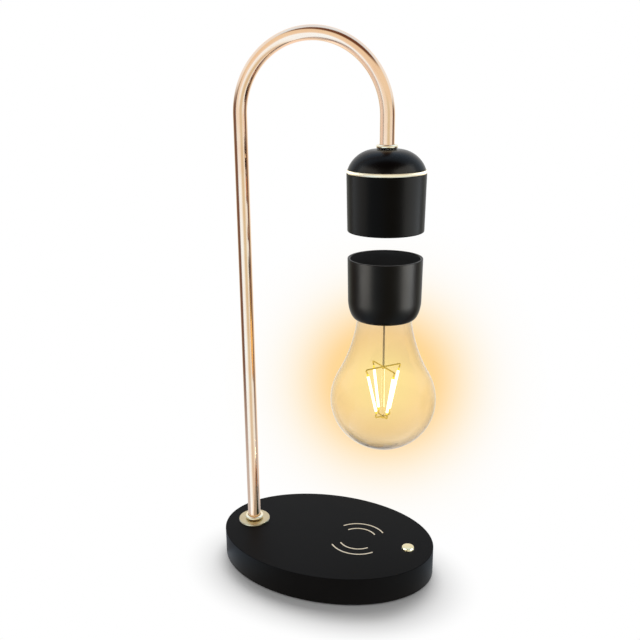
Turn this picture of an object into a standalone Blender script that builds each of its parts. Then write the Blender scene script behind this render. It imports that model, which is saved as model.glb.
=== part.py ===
"""Levitating lamp: an elliptic charging base, a bent arm with a magnet head, and a floating bulb.

Frame: the origin is on the table under the middle of the base, +X runs from the post
towards the button along the base's long axis, +Y is the rear, +Z is up. Lengths are in metres.
Heights named _Z are measured from the table.
"""
import math

import bmesh
import bpy
from mathutils import Matrix, Vector

# Clearances and values shared by many pieces
SEAT_GAP = 0.0003
CUT_OVERRUN = 0.002
WELD_DISTANCE = 0.00001
UNION_DEPTH = 0.0003

# Base: shell, bottom plate, feet
BASE_LENGTH = 0.170
BASE_WIDTH = 0.118
BASE_HEIGHT = 0.0213
BASE_WALL = 0.0025
BASE_TOP_THICKNESS = 0.0025
BASE_EDGE_ROUND = 0.0005
FOOT_PROUD = 0.001
FOOT_RADIUS = 0.005
FOOT_POCKET_DEPTH = 0.0006
PLATE_THICKNESS = 0.002
BOSS_RADIUS = 0.0035
SCREW_SHANK_RADIUS = 0.0014
SCREW_LENGTH = 0.009
SCREW_HEAD_RADIUS = 0.0026
SCREW_HEAD_THICKNESS = 0.0009
SCREW_SOCKET_RADIUS = 0.0012
SCREW_SOCKET_DEPTH = 0.0005
BOSS_ANGLE = math.radians(70)
BOSS_REACH_SHARE = 0.80
FOOT_ANGLE = math.radians(38)
FOOT_REACH_SHARE = 0.85

# Ballast and charging electronics in the base
BALLAST_THICKNESS = 0.0045
BALLAST_SIDE_PLAY = 0.0008
BALLAST_POST_RELIEF = 0.0105
BALLAST_BOSS_PLAY = 0.0005
COIL_OUTER_RADIUS = 0.0215
COIL_INNER_RADIUS = 0.0105
COIL_THICKNESS = 0.0012
FERRITE_RADIUS = 0.023
FERRITE_THICKNESS = 0.0008
COIL_TO_BUTTON = 0.0403
BOARD_LENGTH = 0.038
BOARD_WIDTH = 0.030
BOARD_THICKNESS = 0.0016
BOARD_TO_POST = 0.0216
CHIP_SIZE = 0.007
CHIP_HEIGHT = 0.0012
INDUCTOR_SIZE = 0.0095
INDUCTOR_HEIGHT = 0.0038
PLUG_BLOCK_LENGTH = 0.0045
PLUG_BLOCK_SETBACK = 0.0045
PLUG_BLOCK_WIDTH = 0.006
PLUG_BLOCK_HEIGHT = 0.0034

# Power socket in the rear wall
JACK_WIDTH = 0.009
JACK_DEPTH = 0.0125
JACK_HEIGHT = 0.0084
JACK_NOSE_RADIUS = 0.0038
JACK_BORE_RADIUS = 0.0029
JACK_BORE_DEPTH = 0.0095
JACK_PIN_RADIUS = 0.0009
JACK_FACE_RECESS = 0.0004
JACK_PIN_RECESS = 0.001

# Push button and its switch
BUTTON_INSET = 0.0191
BUTTON_OFF_AXIS = 0.0006
BUTTON_RADIUS = 0.0046
BUTTON_HOLE_PLAY = 0.0004
BUTTON_PROUD = 0.0014
BUTTON_DOME_RISE = 0.0009
BUTTON_SKIRT_RADIUS = 0.0062
BUTTON_SKIRT_THICKNESS = 0.0012
BUTTON_TRAVEL = 0.0008
PLUNGER_RADIUS = 0.0016
PLUNGER_ENGAGEMENT = 0.0012
SWITCH_SIZE = 0.006
SWITCH_HEIGHT = 0.0034
SWITCH_BOARD_LENGTH = 0.010
SWITCH_BOARD_THICKNESS = 0.0012
SWITCH_POST_RADIUS = 0.0018
SWITCH_POST_PLAY = 0.0006
SWITCH_STAKE_RADIUS = 0.001
SWITCH_STAKE_LENGTH = 0.0008

# Arm: bent tube, foot flange, collars and threaded nipples
POST_INSET = 0.0214
TUBE_RADIUS = 0.005
TUBE_WALL = 0.001
ARM_SPAN = 0.1078
ARCH_SPRING_Z = 0.3448
FLANGE_RADIUS = 0.0124
FLANGE_THICKNESS = 0.0012
FLANGE_EDGE_ROUND = 0.0004
COLLAR_RADIUS = 0.0073
COLLAR_HEIGHT = 0.0028
COLLAR_ROUND = 0.0013
NIPPLE_WALL = 0.0012
NIPPLE_IN_TUBE = 0.012
NIPPLE_BELOW_NUT = 0.0003
NUT_RADIUS = 0.0066
NUT_THICKNESS = 0.003
WASHER_RADIUS = 0.0078
WASHER_THICKNESS = 0.001
CABLE_RADIUS = 0.001

# Magnet head
RING_RADIUS = 0.02725
RING_HEIGHT = 0.0022
RING_BULGE = 0.0004
RING_TOP_Z = 0.3103
HEAD_BOTTOM_Z = 0.2684
HEAD_BOTTOM_RADIUS = 0.0265
HEAD_TOP_RADIUS = 0.0272
HEAD_WALL = 0.0022
HEAD_FLOOR = 0.002
HEAD_EDGE_ROUND = 0.0008
HEAD_LEDGE_DEPTH = 0.0098
HEAD_LEDGE_WIDTH = 0.0008
DOME_CROWN_RADIUS = 0.020
DOME_FLAT_RADIUS = 0.00757
DOME_WALL = 0.0022
DOME_RIM_INSET = 0.00085
TRANSMITTER_OUTER_RADIUS = 0.022
TRANSMITTER_INNER_RADIUS = 0.013
TRANSMITTER_THICKNESS = 0.0016
SENSOR_LENGTH = 0.0041
SENSOR_WIDTH = 0.003
SENSOR_THICKNESS = 0.0014
CORE_RADIUS = 0.005
BOBBIN_TUBE_WALL = 0.0012
BOBBIN_FLANGE_RADIUS = 0.018
BOBBIN_FLANGE_THICKNESS = 0.0015
HOLDING_MAGNET_RADIUS = 0.014
HOLDING_MAGNET_THICKNESS = 0.004

# Floating bulb: cap
CAP_GAP = 0.0188
CAP_HEIGHT = 0.0434
CAP_TOP_RADIUS = 0.0263
CAP_WAIST_RADIUS = 0.0259
CAP_MOUTH_RADIUS = 0.0205
CAP_SHOULDER_HEIGHT = 0.0138
CAP_SHOULDER_POWER = 1.85
CAP_WALL = 0.002
CAP_FLOOR = 0.002
CAP_RIM_WIDTH = 0.0015
CAP_RIM_ROUND = 0.0004
CAP_SHELF_WIDTH = 0.0008
CAP_LEDGE_WIDTH = 0.001
LID_RECESS = 0.0005
LID_THICKNESS = 0.0015
BULB_MAGNET_RADIUS = 0.015
BULB_MAGNET_THICKNESS = 0.006
CARRIER_THICKNESS = 0.0015
RECEIVER_FERRITE_THICKNESS = 0.0008
RECEIVER_THICKNESS = 0.002
RECEIVER_WIDTH = 0.007
DRIVER_RADIUS = 0.018
DRIVER_THICKNESS = 0.0016

# Floating bulb: glass and filaments
GLASS_RADIUS = 0.0385
GLASS_DROP = 0.0372
GLASS_CENTRE_BELOW_CAP = 0.0622
GLASS_NECK_RADIUS = 0.0193
GLASS_WALL = 0.0008
GLASS_WAIST_RADIUS = 0.1105
GLASS_WAIST_ANGLE = math.radians(30)
GLASS_NECK_IN_CAP = 0.0068
HOLDER_DEPTH = 0.006
HOLDER_FLANGE_THICKNESS = 0.0018
STEM_RADIUS = 0.0007
STEM_IN_HOLDER = 0.004
POST_ROD_RADIUS = 0.0011
SPIDER_BELOW_CAP = 0.0376
SPIDER_REACH = 0.0159
SPIDER_WIRE_RADIUS = 0.0006
SPIDER_HUB_RADIUS = 0.0016
SPIDER_HUB_HEIGHT = 0.0018
SPIDER_LEG_INSET = 0.0009
FILAMENT_RADIUS = 0.0009
FILAMENT_TERMINAL_RADIUS = 0.0006
FILAMENT_TERMINAL_LENGTH = 0.0018
FILAMENT_TOP_REACH = 0.0134
FILAMENT_TOP_DROP = 0.0033
FILAMENT_FOOT_REACH = 0.0054
FILAMENT_FOOT_DROP = 0.0356
LOWER_SPIDER_DROP = 0.0393
LOWER_SPIDER_REACH = 0.0064
LOWER_SPIDER_RISE = 0.0007
FILAMENT_COUNT = 4
FILAMENT_TURN = math.radians(48)

# How finely round shapes are divided
ELLIPSE_STEPS = 64
LARGE_STEPS = 36
MEDIUM_STEPS = 24
SMALL_STEPS = 12
SCREW_STEPS = 10
WIRE_STEPS = 8
TUBE_STEPS = 16
BORE_STEPS = 12
ARCH_STEPS = 24
CORNER_STEPS = 2
BUTTON_DOME_STEPS = 4
RING_BULGE_STEPS = 4
CROWN_STEPS = 8
CEILING_STEPS = 5
SHOULDER_STEPS = 7
INNER_SHOULDER_STEPS = 5
GLASS_TIP_STEPS = 7
GLASS_GLOBE_STEPS = 3
GLASS_WAIST_STEPS = 4
FILAMENT_STEPS = 10
CABLE_SAMPLES = 3
NUT_SIDES = 6

# Heights worked out from the sizes above, from the table upwards
BASE_TOP_Z = FOOT_PROUD + BASE_HEIGHT
BASE_CEILING_Z = BASE_TOP_Z - BASE_TOP_THICKNESS
PLATE_TOP_Z = FOOT_PROUD + PLATE_THICKNESS
BALLAST_FOOT_Z = PLATE_TOP_Z + SEAT_GAP
BALLAST_TOP_Z = BALLAST_FOOT_Z + BALLAST_THICKNESS
BOARD_FOOT_Z = BALLAST_TOP_Z + SEAT_GAP
BOARD_TOP_Z = BOARD_FOOT_Z + BOARD_THICKNESS
FLANGE_FOOT_Z = BASE_TOP_Z + SEAT_GAP
FLANGE_TOP_Z = FLANGE_FOOT_Z + FLANGE_THICKNESS
TUBE_FOOT_Z = FLANGE_TOP_Z + SEAT_GAP
DOME_RIM_Z = RING_TOP_Z + SEAT_GAP
RING_FOOT_Z = RING_TOP_Z - RING_HEIGHT
HOUSING_TOP_Z = RING_FOOT_Z - SEAT_GAP
HEAD_FLOOR_Z = HEAD_BOTTOM_Z + HEAD_FLOOR
HEAD_LEDGE_Z = HOUSING_TOP_Z - HEAD_LEDGE_DEPTH
CAP_TOP_Z = HEAD_BOTTOM_Z - CAP_GAP
CAP_MOUTH_Z = CAP_TOP_Z - CAP_HEIGHT
CAP_SHOULDER_Z = CAP_MOUTH_Z + CAP_SHOULDER_HEIGHT
GLASS_CENTRE_Z = CAP_MOUTH_Z - GLASS_CENTRE_BELOW_CAP
GLASS_RIM_Z = CAP_MOUTH_Z + GLASS_NECK_IN_CAP
SPIDER_Z = CAP_MOUTH_Z - SPIDER_BELOW_CAP

# Places along the base's long axis
HALF_LENGTH = BASE_LENGTH / 2
HALF_WIDTH = BASE_WIDTH / 2
POST_X = POST_INSET - HALF_LENGTH
HEAD_X = POST_X + ARM_SPAN
BUTTON_X = HALF_LENGTH - BUTTON_INSET
COIL_X = BUTTON_X - COIL_TO_BUTTON
BOARD_X = POST_X + BOARD_TO_POST + BOARD_LENGTH / 2

# Sizes worked out from the pieces that they fit
SWITCH_POST_SPREAD = BUTTON_SKIRT_RADIUS + SWITCH_POST_PLAY + SWITCH_POST_RADIUS
SWITCH_BOARD_WIDTH = (SWITCH_POST_SPREAD + SWITCH_POST_RADIUS) * 2
INNER_LENGTH = HALF_LENGTH - BASE_WALL
INNER_WIDTH = HALF_WIDTH - BASE_WALL
TUBE_BORE_RADIUS = TUBE_RADIUS - TUBE_WALL
NIPPLE_RADIUS = TUBE_BORE_RADIUS - SEAT_GAP
NIPPLE_BORE_RADIUS = NIPPLE_RADIUS - NIPPLE_WALL
NIPPLE_HOLE_RADIUS = NIPPLE_RADIUS + SEAT_GAP
COLLAR_HOLE_RADIUS = TUBE_RADIUS + SEAT_GAP
HEAD_BORE_RADIUS = HEAD_TOP_RADIUS - HEAD_WALL
SPIGOT_RADIUS = HEAD_BORE_RADIUS - SEAT_GAP
SPIGOT_BORE_RADIUS = SPIGOT_RADIUS - DOME_WALL
DOME_CENTRE_Z = DOME_RIM_Z - math.sqrt(
    DOME_CROWN_RADIUS ** 2 - (RING_RADIUS - DOME_RIM_INSET - DOME_FLAT_RADIUS) ** 2
)
DOME_TOP_Z = DOME_CENTRE_Z + DOME_CROWN_RADIUS
DOME_CEILING_Z = DOME_TOP_Z - DOME_WALL
COLLAR_ON_DOME_Z = DOME_TOP_Z + SEAT_GAP
LID_RADIUS = CAP_TOP_RADIUS - CAP_RIM_WIDTH - SEAT_GAP
LID_FOOT_Z = CAP_TOP_Z - LID_RECESS - LID_THICKNESS
CAP_SHELF_Z = LID_FOOT_Z - SEAT_GAP
CAP_BORE_RADIUS = LID_RADIUS + SEAT_GAP - CAP_SHELF_WIDTH
CARRIER_TOP_Z = CAP_SHELF_Z - BULB_MAGNET_THICKNESS - SEAT_GAP
CARRIER_FOOT_Z = CARRIER_TOP_Z - CARRIER_THICKNESS
CAP_LEDGE_Z = CARRIER_FOOT_Z - SEAT_GAP
CAP_LOWER_BORE_RADIUS = CAP_BORE_RADIUS - CAP_LEDGE_WIDTH
GLASS_BORE_RADIUS = GLASS_NECK_RADIUS - GLASS_WALL
HOLDER_FLANGE_Z = GLASS_RIM_Z + SEAT_GAP
HOLDER_TOP_Z = HOLDER_FLANGE_Z + HOLDER_FLANGE_THICKNESS
HOLDER_FOOT_Z = GLASS_RIM_Z - HOLDER_DEPTH

SMOOTH_ANGLE = math.radians(35)
QUARTER_TURN = math.pi / 2


def clear_scene():
    """Start from an empty scene."""
    for old in list(bpy.data.objects):
        bpy.data.objects.remove(old, do_unlink=True)


def new_collection(name):
    """Make a collection and show it in the scene."""
    made = bpy.data.collections.new(name)
    bpy.context.scene.collection.children.link(made)
    return made


def surface(name, colour, roughness, metallic=0.0, transmission=0.0):
    """A Principled material with one colour."""
    made = bpy.data.materials.new(name)
    made.use_nodes = True
    shader = made.node_tree.nodes["Principled BSDF"]
    shader.inputs["Base Color"].default_value = (*colour, 1.0)
    shader.inputs["Roughness"].default_value = roughness
    shader.inputs["Metallic"].default_value = metallic
    shader.inputs["Transmission Weight"].default_value = transmission
    return made


def make_surfaces():
    """Every finish of the lamp, by name."""
    return {
        "satin_black": surface("satin_black", (0.015, 0.015, 0.017), 0.42),
        "matte_black": surface("matte_black", (0.012, 0.012, 0.013), 0.85),
        "rose_gold": surface("rose_gold", (0.90, 0.66, 0.50), 0.12, metallic=1.0),
        "pale_gold": surface("pale_gold", (0.86, 0.74, 0.50), 0.22, metallic=1.0),
        "steel": surface("steel", (0.55, 0.56, 0.58), 0.35, metallic=1.0),
        "magnet_nickel": surface("magnet_nickel", (0.68, 0.67, 0.64), 0.20, metallic=1.0),
        "copper_wire": surface("copper_wire", (0.72, 0.34, 0.16), 0.40, metallic=1.0),
        "ferrite": surface("ferrite", (0.07, 0.07, 0.08), 0.70),
        "board_green": surface("board_green", (0.03, 0.16, 0.07), 0.50),
        "rubber": surface("rubber", (0.03, 0.03, 0.03), 0.90),
        "cable_sheath": surface("cable_sheath", (0.70, 0.70, 0.68), 0.60),
        "clear_glass": surface("clear_glass", (1.0, 0.97, 0.90), 0.02, transmission=1.0),
        "filament": surface("filament", (1.0, 0.86, 0.50), 0.50),
    }


def add_object(name, mesh, finish, parent=None, location=(0, 0, 0)):
    """Put a mesh in the lamp's collection as one named piece."""
    piece = bpy.data.objects.new(name, mesh)
    piece.location = location
    if finish is None:
        cutters.objects.link(piece)
        piece.hide_render = True
        piece.display_type = "WIRE"
    else:
        lamp.objects.link(piece)
        mesh.materials.append(finish)
        piece.parent = parent
    return piece


def add_pivot(name, location):
    """An empty that carries the pieces of one moving body."""
    pivot = bpy.data.objects.new(name, None)
    pivot.location = location
    lamp.objects.link(pivot)
    return pivot


def boolean(piece, tool, operation="DIFFERENCE"):
    """Cut a tool from a piece, or join it on."""
    step = piece.modifiers.new(tool.name, "BOOLEAN")
    step.object = tool
    step.operation = operation
    step.solver = "EXACT"


def cylinder_mesh(name, radius, low, high, steps):
    """A closed cylinder about Z between two heights."""
    shape = bmesh.new()
    bmesh.ops.create_cone(
        shape, cap_ends=True, segments=steps, radius1=radius, radius2=radius, depth=high - low
    )
    bmesh.ops.translate(shape, verts=shape.verts, vec=(0, 0, (low + high) / 2))
    return mesh_from(name, shape)


def mesh_from(name, shape):
    """Turn a bmesh into a mesh with smooth round faces and sharp edges."""
    mesh = bpy.data.meshes.new(name)
    shape.to_mesh(mesh)
    shape.free()
    mesh.shade_smooth()
    mesh.set_sharp_from_angle(angle=SMOOTH_ANGLE)
    return mesh


def cylinder(name, radius, low, high, finish=None, place=(0, 0), steps=SMALL_STEPS, parent=None):
    """A cylinder piece, or a cutter where no finish is given."""
    mesh = cylinder_mesh(name, radius, low, high, steps)
    return add_object(name, mesh, finish, parent, (*place, 0))


def box(name, size, centre, finish=None, parent=None):
    """A box piece, or a cutter where no finish is given."""
    shape = bmesh.new()
    bmesh.ops.create_cube(shape, size=1)
    bmesh.ops.scale(shape, verts=shape.verts, vec=size)
    mesh = mesh_from(name, shape)
    return add_object(name, mesh, finish, parent, centre)


def ellipse_slab(name, half_x, half_y, low, high, finish=None, edge_round=0.0):
    """An elliptic slab, with its top edge rounded where asked."""
    shape = bmesh.new()
    bmesh.ops.create_cone(
        shape, cap_ends=True, segments=ELLIPSE_STEPS, radius1=1, radius2=1, depth=high - low
    )
    bmesh.ops.scale(shape, verts=shape.verts, vec=(half_x, half_y, 1))
    bmesh.ops.translate(shape, verts=shape.verts, vec=(0, 0, (low + high) / 2))
    if edge_round > 0:
        middle = (low + high) / 2
        rim = [edge for edge in shape.edges if all(vert.co.z > middle for vert in edge.verts)]
        bmesh.ops.bevel(
            shape, geom=rim, offset=edge_round, segments=1, affect="EDGES", profile=0.5
        )
    mesh = mesh_from(name, shape)
    return add_object(name, mesh, finish)


def turned(name, outline, finish=None, place=(0, 0), steps=LARGE_STEPS, closed=False, parent=None):
    """Turn an outline of (radius, height) points about Z. The outer side runs downwards."""
    points = [(radius, 0, height) for radius, height in outline]
    edges = [(index, index + 1) for index in range(len(points) - 1)]
    if closed:
        edges.append((len(points) - 1, 0))
    mesh = bpy.data.meshes.new(name)
    mesh.from_pydata(points, edges, [])
    piece = add_object(name, mesh, finish, parent, (*place, 0))
    screw = piece.modifiers.new("turn", "SCREW")
    screw.steps = steps
    screw.render_steps = steps
    screw.use_merge_vertices = True
    screw.merge_threshold = WELD_DISTANCE
    screw.use_smooth_shade = True
    return piece


def ring(name, inner, outer, low, high, finish=None, place=(0, 0), steps=MEDIUM_STEPS, parent=None):
    """A flat ring with a square section."""
    outline = [(inner, low), (inner, high), (outer, high), (outer, low)]
    return turned(name, outline, finish, place, steps, closed=True, parent=parent)


def arc(centre_radius, centre_z, radius, start, end, steps):
    """Points of an arc in the (radius, height) plane. Angles are above the horizontal."""
    points = []
    for index in range(steps + 1):
        angle = start + (end - start) * index / steps
        points.append((centre_radius + radius * math.cos(angle), centre_z + radius * math.sin(angle)))
    return points


def wire(name, points, radius, finish=None, parent=None, steps=WIRE_STEPS):
    """A closed round wire along points, as a mesh."""
    curve = bpy.data.curves.new(name, "CURVE")
    curve.dimensions = "3D"
    curve.bevel_depth = radius
    curve.bevel_resolution = (steps - 4) // 2
    curve.use_fill_caps = True
    spline = curve.splines.new("POLY")
    spline.points.add(len(points) - 1)
    for point, place in zip(spline.points, points):
        point.co = (*place, 1)
    guide = bpy.data.objects.new(name + "_guide", curve)
    cutters.objects.link(guide)
    bpy.context.view_layer.update()
    evaluated = guide.evaluated_get(bpy.context.evaluated_depsgraph_get())
    mesh = bpy.data.meshes.new_from_object(evaluated)
    mesh.name = name
    bpy.data.objects.remove(guide, do_unlink=True)
    shape = bmesh.new()
    shape.from_mesh(mesh)
    bmesh.ops.remove_doubles(shape, verts=shape.verts, dist=WELD_DISTANCE)
    bmesh.ops.recalc_face_normals(shape, faces=shape.faces)
    shape.to_mesh(mesh)
    shape.free()
    mesh.materials.clear()
    mesh.shade_smooth()
    mesh.set_sharp_from_angle(angle=SMOOTH_ANGLE)
    return add_object(name, mesh, finish, parent)


def on_ellipse(half_x, half_y, angle):
    """A point on an ellipse, by its parameter angle."""
    return (half_x * math.cos(angle), half_y * math.sin(angle))


def four_places(half_x, half_y, angle):
    """Four places on an ellipse, mirrored about both axes."""
    angles = (angle, math.pi - angle, math.pi + angle, -angle)
    return [on_ellipse(half_x, half_y, turn) for turn in angles]


def boss_places():
    """Where the four base screws stand."""
    return four_places(HALF_LENGTH * BOSS_REACH_SHARE, HALF_WIDTH * BOSS_REACH_SHARE, BOSS_ANGLE)


def foot_places():
    """Where the four feet stand."""
    return four_places(INNER_LENGTH * FOOT_REACH_SHARE, INNER_WIDTH * FOOT_REACH_SHARE, FOOT_ANGLE)


def switch_levels():
    """Heights of the switch stack that hangs under the top of the base."""
    skirt_top = BASE_CEILING_Z - SEAT_GAP
    skirt_foot = skirt_top - BUTTON_SKIRT_THICKNESS
    plunger_top = skirt_foot - SEAT_GAP
    switch_top = plunger_top - BUTTON_TRAVEL - SEAT_GAP
    switch_foot = switch_top - SWITCH_HEIGHT
    board_top = switch_foot - SEAT_GAP
    return {
        "skirt_top": skirt_top,
        "skirt_foot": skirt_foot,
        "plunger_top": plunger_top,
        "switch_top": switch_top,
        "switch_foot": switch_foot,
        "board_top": board_top,
        "board_foot": board_top - SWITCH_BOARD_THICKNESS,
    }


def switch_post_places():
    """The two posts that carry the switch board, in front of and behind the button."""
    return [(BUTTON_X, BUTTON_OFF_AXIS + side * SWITCH_POST_SPREAD) for side in (-1, 1)]


def jack_middle_z():
    """Height of the power socket's axis."""
    return PLATE_TOP_Z + SEAT_GAP + JACK_HEIGHT / 2


def make_base_shell(finishes):
    """The black elliptic housing, open below, with its screw bosses and switch posts."""
    shell = ellipse_slab(
        "base_shell", HALF_LENGTH, HALF_WIDTH, FOOT_PROUD, BASE_TOP_Z,
        finishes["satin_black"], BASE_EDGE_ROUND,
    )
    cavity = ellipse_slab(
        "base_cavity", INNER_LENGTH, INNER_WIDTH, FOOT_PROUD - CUT_OVERRUN, BASE_CEILING_Z
    )
    boolean(shell, cavity)
    buried_z = BASE_CEILING_Z + UNION_DEPTH
    for index, place in enumerate(boss_places(), 1):
        boss = cylinder(
            f"boss_{index}", BOSS_RADIUS, PLATE_TOP_Z + SEAT_GAP, buried_z, place=place
        )
        boolean(shell, boss, "UNION")
        pilot_top = FOOT_PROUD + SCREW_LENGTH + SEAT_GAP
        pilot = cylinder(
            f"pilot_{index}", SCREW_SHANK_RADIUS + SEAT_GAP, FOOT_PROUD, pilot_top, place=place
        )
        boolean(shell, pilot)
    levels = switch_levels()
    for index, place in enumerate(switch_post_places(), 1):
        post_foot = levels["board_top"] + SEAT_GAP
        post = cylinder(f"switch_post_{index}", SWITCH_POST_RADIUS, post_foot, buried_z, place=place)
        boolean(shell, post, "UNION")
        stake = cylinder(
            f"switch_stake_{index}", SWITCH_STAKE_RADIUS,
            levels["board_foot"] - SWITCH_STAKE_LENGTH, post_foot + UNION_DEPTH, place=place,
        )
        boolean(shell, stake, "UNION")
    hole_top = BASE_TOP_Z + CUT_OVERRUN
    hole_foot = BASE_CEILING_Z - CUT_OVERRUN
    nipple_hole = cylinder(
        "nipple_hole", NIPPLE_HOLE_RADIUS, hole_foot, hole_top, place=(POST_X, 0)
    )
    boolean(shell, nipple_hole)
    button_hole = cylinder(
        "button_hole", BUTTON_RADIUS + BUTTON_HOLE_PLAY, hole_foot, hole_top,
        place=(BUTTON_X, BUTTON_OFF_AXIS), steps=MEDIUM_STEPS,
    )
    boolean(shell, button_hole)
    jack_hole = cylinder(
        "jack_hole", JACK_NOSE_RADIUS + SEAT_GAP, -BASE_WALL - CUT_OVERRUN, BASE_WALL + CUT_OVERRUN
    )
    jack_hole.rotation_euler = (QUARTER_TURN, 0, 0)
    jack_hole.location = (0, HALF_WIDTH, jack_middle_z())
    boolean(shell, jack_hole)


def make_base_plate(finishes):
    """The bottom cover, with pockets for the feet and seats for the screws."""
    plate = ellipse_slab(
        "base_plate", INNER_LENGTH - SEAT_GAP, INNER_WIDTH - SEAT_GAP, FOOT_PROUD, PLATE_TOP_Z,
        finishes["matte_black"],
    )
    below_z = FOOT_PROUD - CUT_OVERRUN
    for index, place in enumerate(foot_places(), 1):
        pocket = cylinder(
            f"foot_pocket_{index}", FOOT_RADIUS + SEAT_GAP, below_z,
            FOOT_PROUD + FOOT_POCKET_DEPTH, place=place,
        )
        boolean(plate, pocket)
    for index, place in enumerate(boss_places(), 1):
        seat = cylinder(
            f"screw_seat_{index}", SCREW_HEAD_RADIUS + SEAT_GAP, below_z,
            FOOT_PROUD + SCREW_HEAD_THICKNESS + SEAT_GAP, place=place,
        )
        boolean(plate, seat)
        hole = cylinder(
            f"screw_hole_{index}", SCREW_SHANK_RADIUS + SEAT_GAP, FOOT_PROUD,
            PLATE_TOP_Z + CUT_OVERRUN, place=place,
        )
        boolean(plate, hole)


def make_feet(finishes):
    """Four round rubber feet in the plate's pockets."""
    foot_top = FOOT_PROUD + FOOT_POCKET_DEPTH - SEAT_GAP
    for index, place in enumerate(foot_places(), 1):
        cylinder(f"foot_{index}", FOOT_RADIUS, 0, foot_top, finishes["rubber"], place)


def make_base_screws(finishes):
    """Four socket screws that hold the plate to the shell's bosses."""
    outline = [
        (0, FOOT_PROUD + SCREW_LENGTH),
        (SCREW_SHANK_RADIUS, FOOT_PROUD + SCREW_LENGTH),
        (SCREW_SHANK_RADIUS, FOOT_PROUD + SCREW_HEAD_THICKNESS),
        (SCREW_HEAD_RADIUS, FOOT_PROUD + SCREW_HEAD_THICKNESS),
        (SCREW_HEAD_RADIUS, FOOT_PROUD),
        (0, FOOT_PROUD),
    ]
    for index, place in enumerate(boss_places(), 1):
        screw = turned(f"base_screw_{index}", outline, finishes["steel"], place, steps=SCREW_STEPS)
        socket = cylinder(
            f"screw_socket_{index}", SCREW_SOCKET_RADIUS, FOOT_PROUD - CUT_OVERRUN,
            FOOT_PROUD + SCREW_SOCKET_DEPTH, place=place, steps=NUT_SIDES,
        )
        boolean(screw, socket)


def make_ballast(finishes):
    """The steel plate that keeps the lamp upright, relieved round what stands in its way."""
    ballast = ellipse_slab(
        "ballast_plate", INNER_LENGTH - BALLAST_SIDE_PLAY, INNER_WIDTH - BALLAST_SIDE_PLAY,
        BALLAST_FOOT_Z, BALLAST_TOP_Z, finishes["steel"],
    )
    low = BALLAST_FOOT_Z - CUT_OVERRUN
    high = BALLAST_TOP_Z + CUT_OVERRUN
    for index, place in enumerate(boss_places(), 1):
        relief = cylinder(
            f"boss_relief_{index}", BOSS_RADIUS + BALLAST_BOSS_PLAY, low, high, place=place
        )
        boolean(ballast, relief)
    post_relief = cylinder("post_relief", BALLAST_POST_RELIEF, low, high, place=(POST_X, 0))
    boolean(ballast, post_relief)
    switch_relief = box(
        "switch_relief",
        (
            SWITCH_BOARD_LENGTH + BALLAST_SIDE_PLAY * 2,
            SWITCH_BOARD_WIDTH + BALLAST_SIDE_PLAY * 2,
            high - low,
        ),
        (BUTTON_X, BUTTON_OFF_AXIS, (low + high) / 2),
    )
    boolean(ballast, switch_relief)
    jack_clear = JACK_DEPTH + BASE_WALL + SEAT_GAP + BALLAST_SIDE_PLAY
    jack_relief = box(
        "jack_relief",
        (JACK_WIDTH + BALLAST_SIDE_PLAY * 2, jack_clear * 2, high - low),
        (0, HALF_WIDTH, (low + high) / 2),
    )
    boolean(ballast, jack_relief)


def make_charging_coil(finishes):
    """The flat charging coil and its ferrite disc, glued under the top of the base."""
    coil_top = BASE_CEILING_Z - SEAT_GAP
    coil_foot = coil_top - COIL_THICKNESS
    ring(
        "charging_coil", COIL_INNER_RADIUS, COIL_OUTER_RADIUS, coil_foot, coil_top,
        finishes["copper_wire"], (COIL_X, 0),
    )
    ferrite_top = coil_foot - SEAT_GAP
    cylinder(
        "coil_ferrite", FERRITE_RADIUS, ferrite_top - FERRITE_THICKNESS, ferrite_top,
        finishes["ferrite"], (COIL_X, 0), steps=MEDIUM_STEPS,
    )


def plug_block_x():
    """Middle of the plug block at the post's end of the charging board."""
    return BOARD_X - BOARD_LENGTH / 2 + PLUG_BLOCK_SETBACK + PLUG_BLOCK_LENGTH / 2


def make_charging_board(finishes):
    """The charging circuit on the ballast, with its chip, inductor and plug block."""
    board = box(
        "charging_board", (BOARD_LENGTH, BOARD_WIDTH, BOARD_THICKNESS),
        (BOARD_X, 0, (BOARD_FOOT_Z + BOARD_TOP_Z) / 2), finishes["board_green"],
    )
    parts = (
        ("chip", CHIP_SIZE, CHIP_SIZE, CHIP_HEIGHT, BOARD_X, -BOARD_WIDTH / 4),
        ("inductor", INDUCTOR_SIZE, INDUCTOR_SIZE, INDUCTOR_HEIGHT,
         BOARD_X + BOARD_LENGTH / 4, BOARD_WIDTH / 5),
        ("plug_block", PLUG_BLOCK_LENGTH, PLUG_BLOCK_WIDTH, PLUG_BLOCK_HEIGHT, plug_block_x(), 0),
    )
    for name, length, width, height, x, y in parts:
        low = BOARD_TOP_Z - UNION_DEPTH
        high = BOARD_TOP_Z + height
        block = box(name, (length, width, high - low), (x, y, (low + high) / 2))
        boolean(board, block, "UNION")


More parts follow.
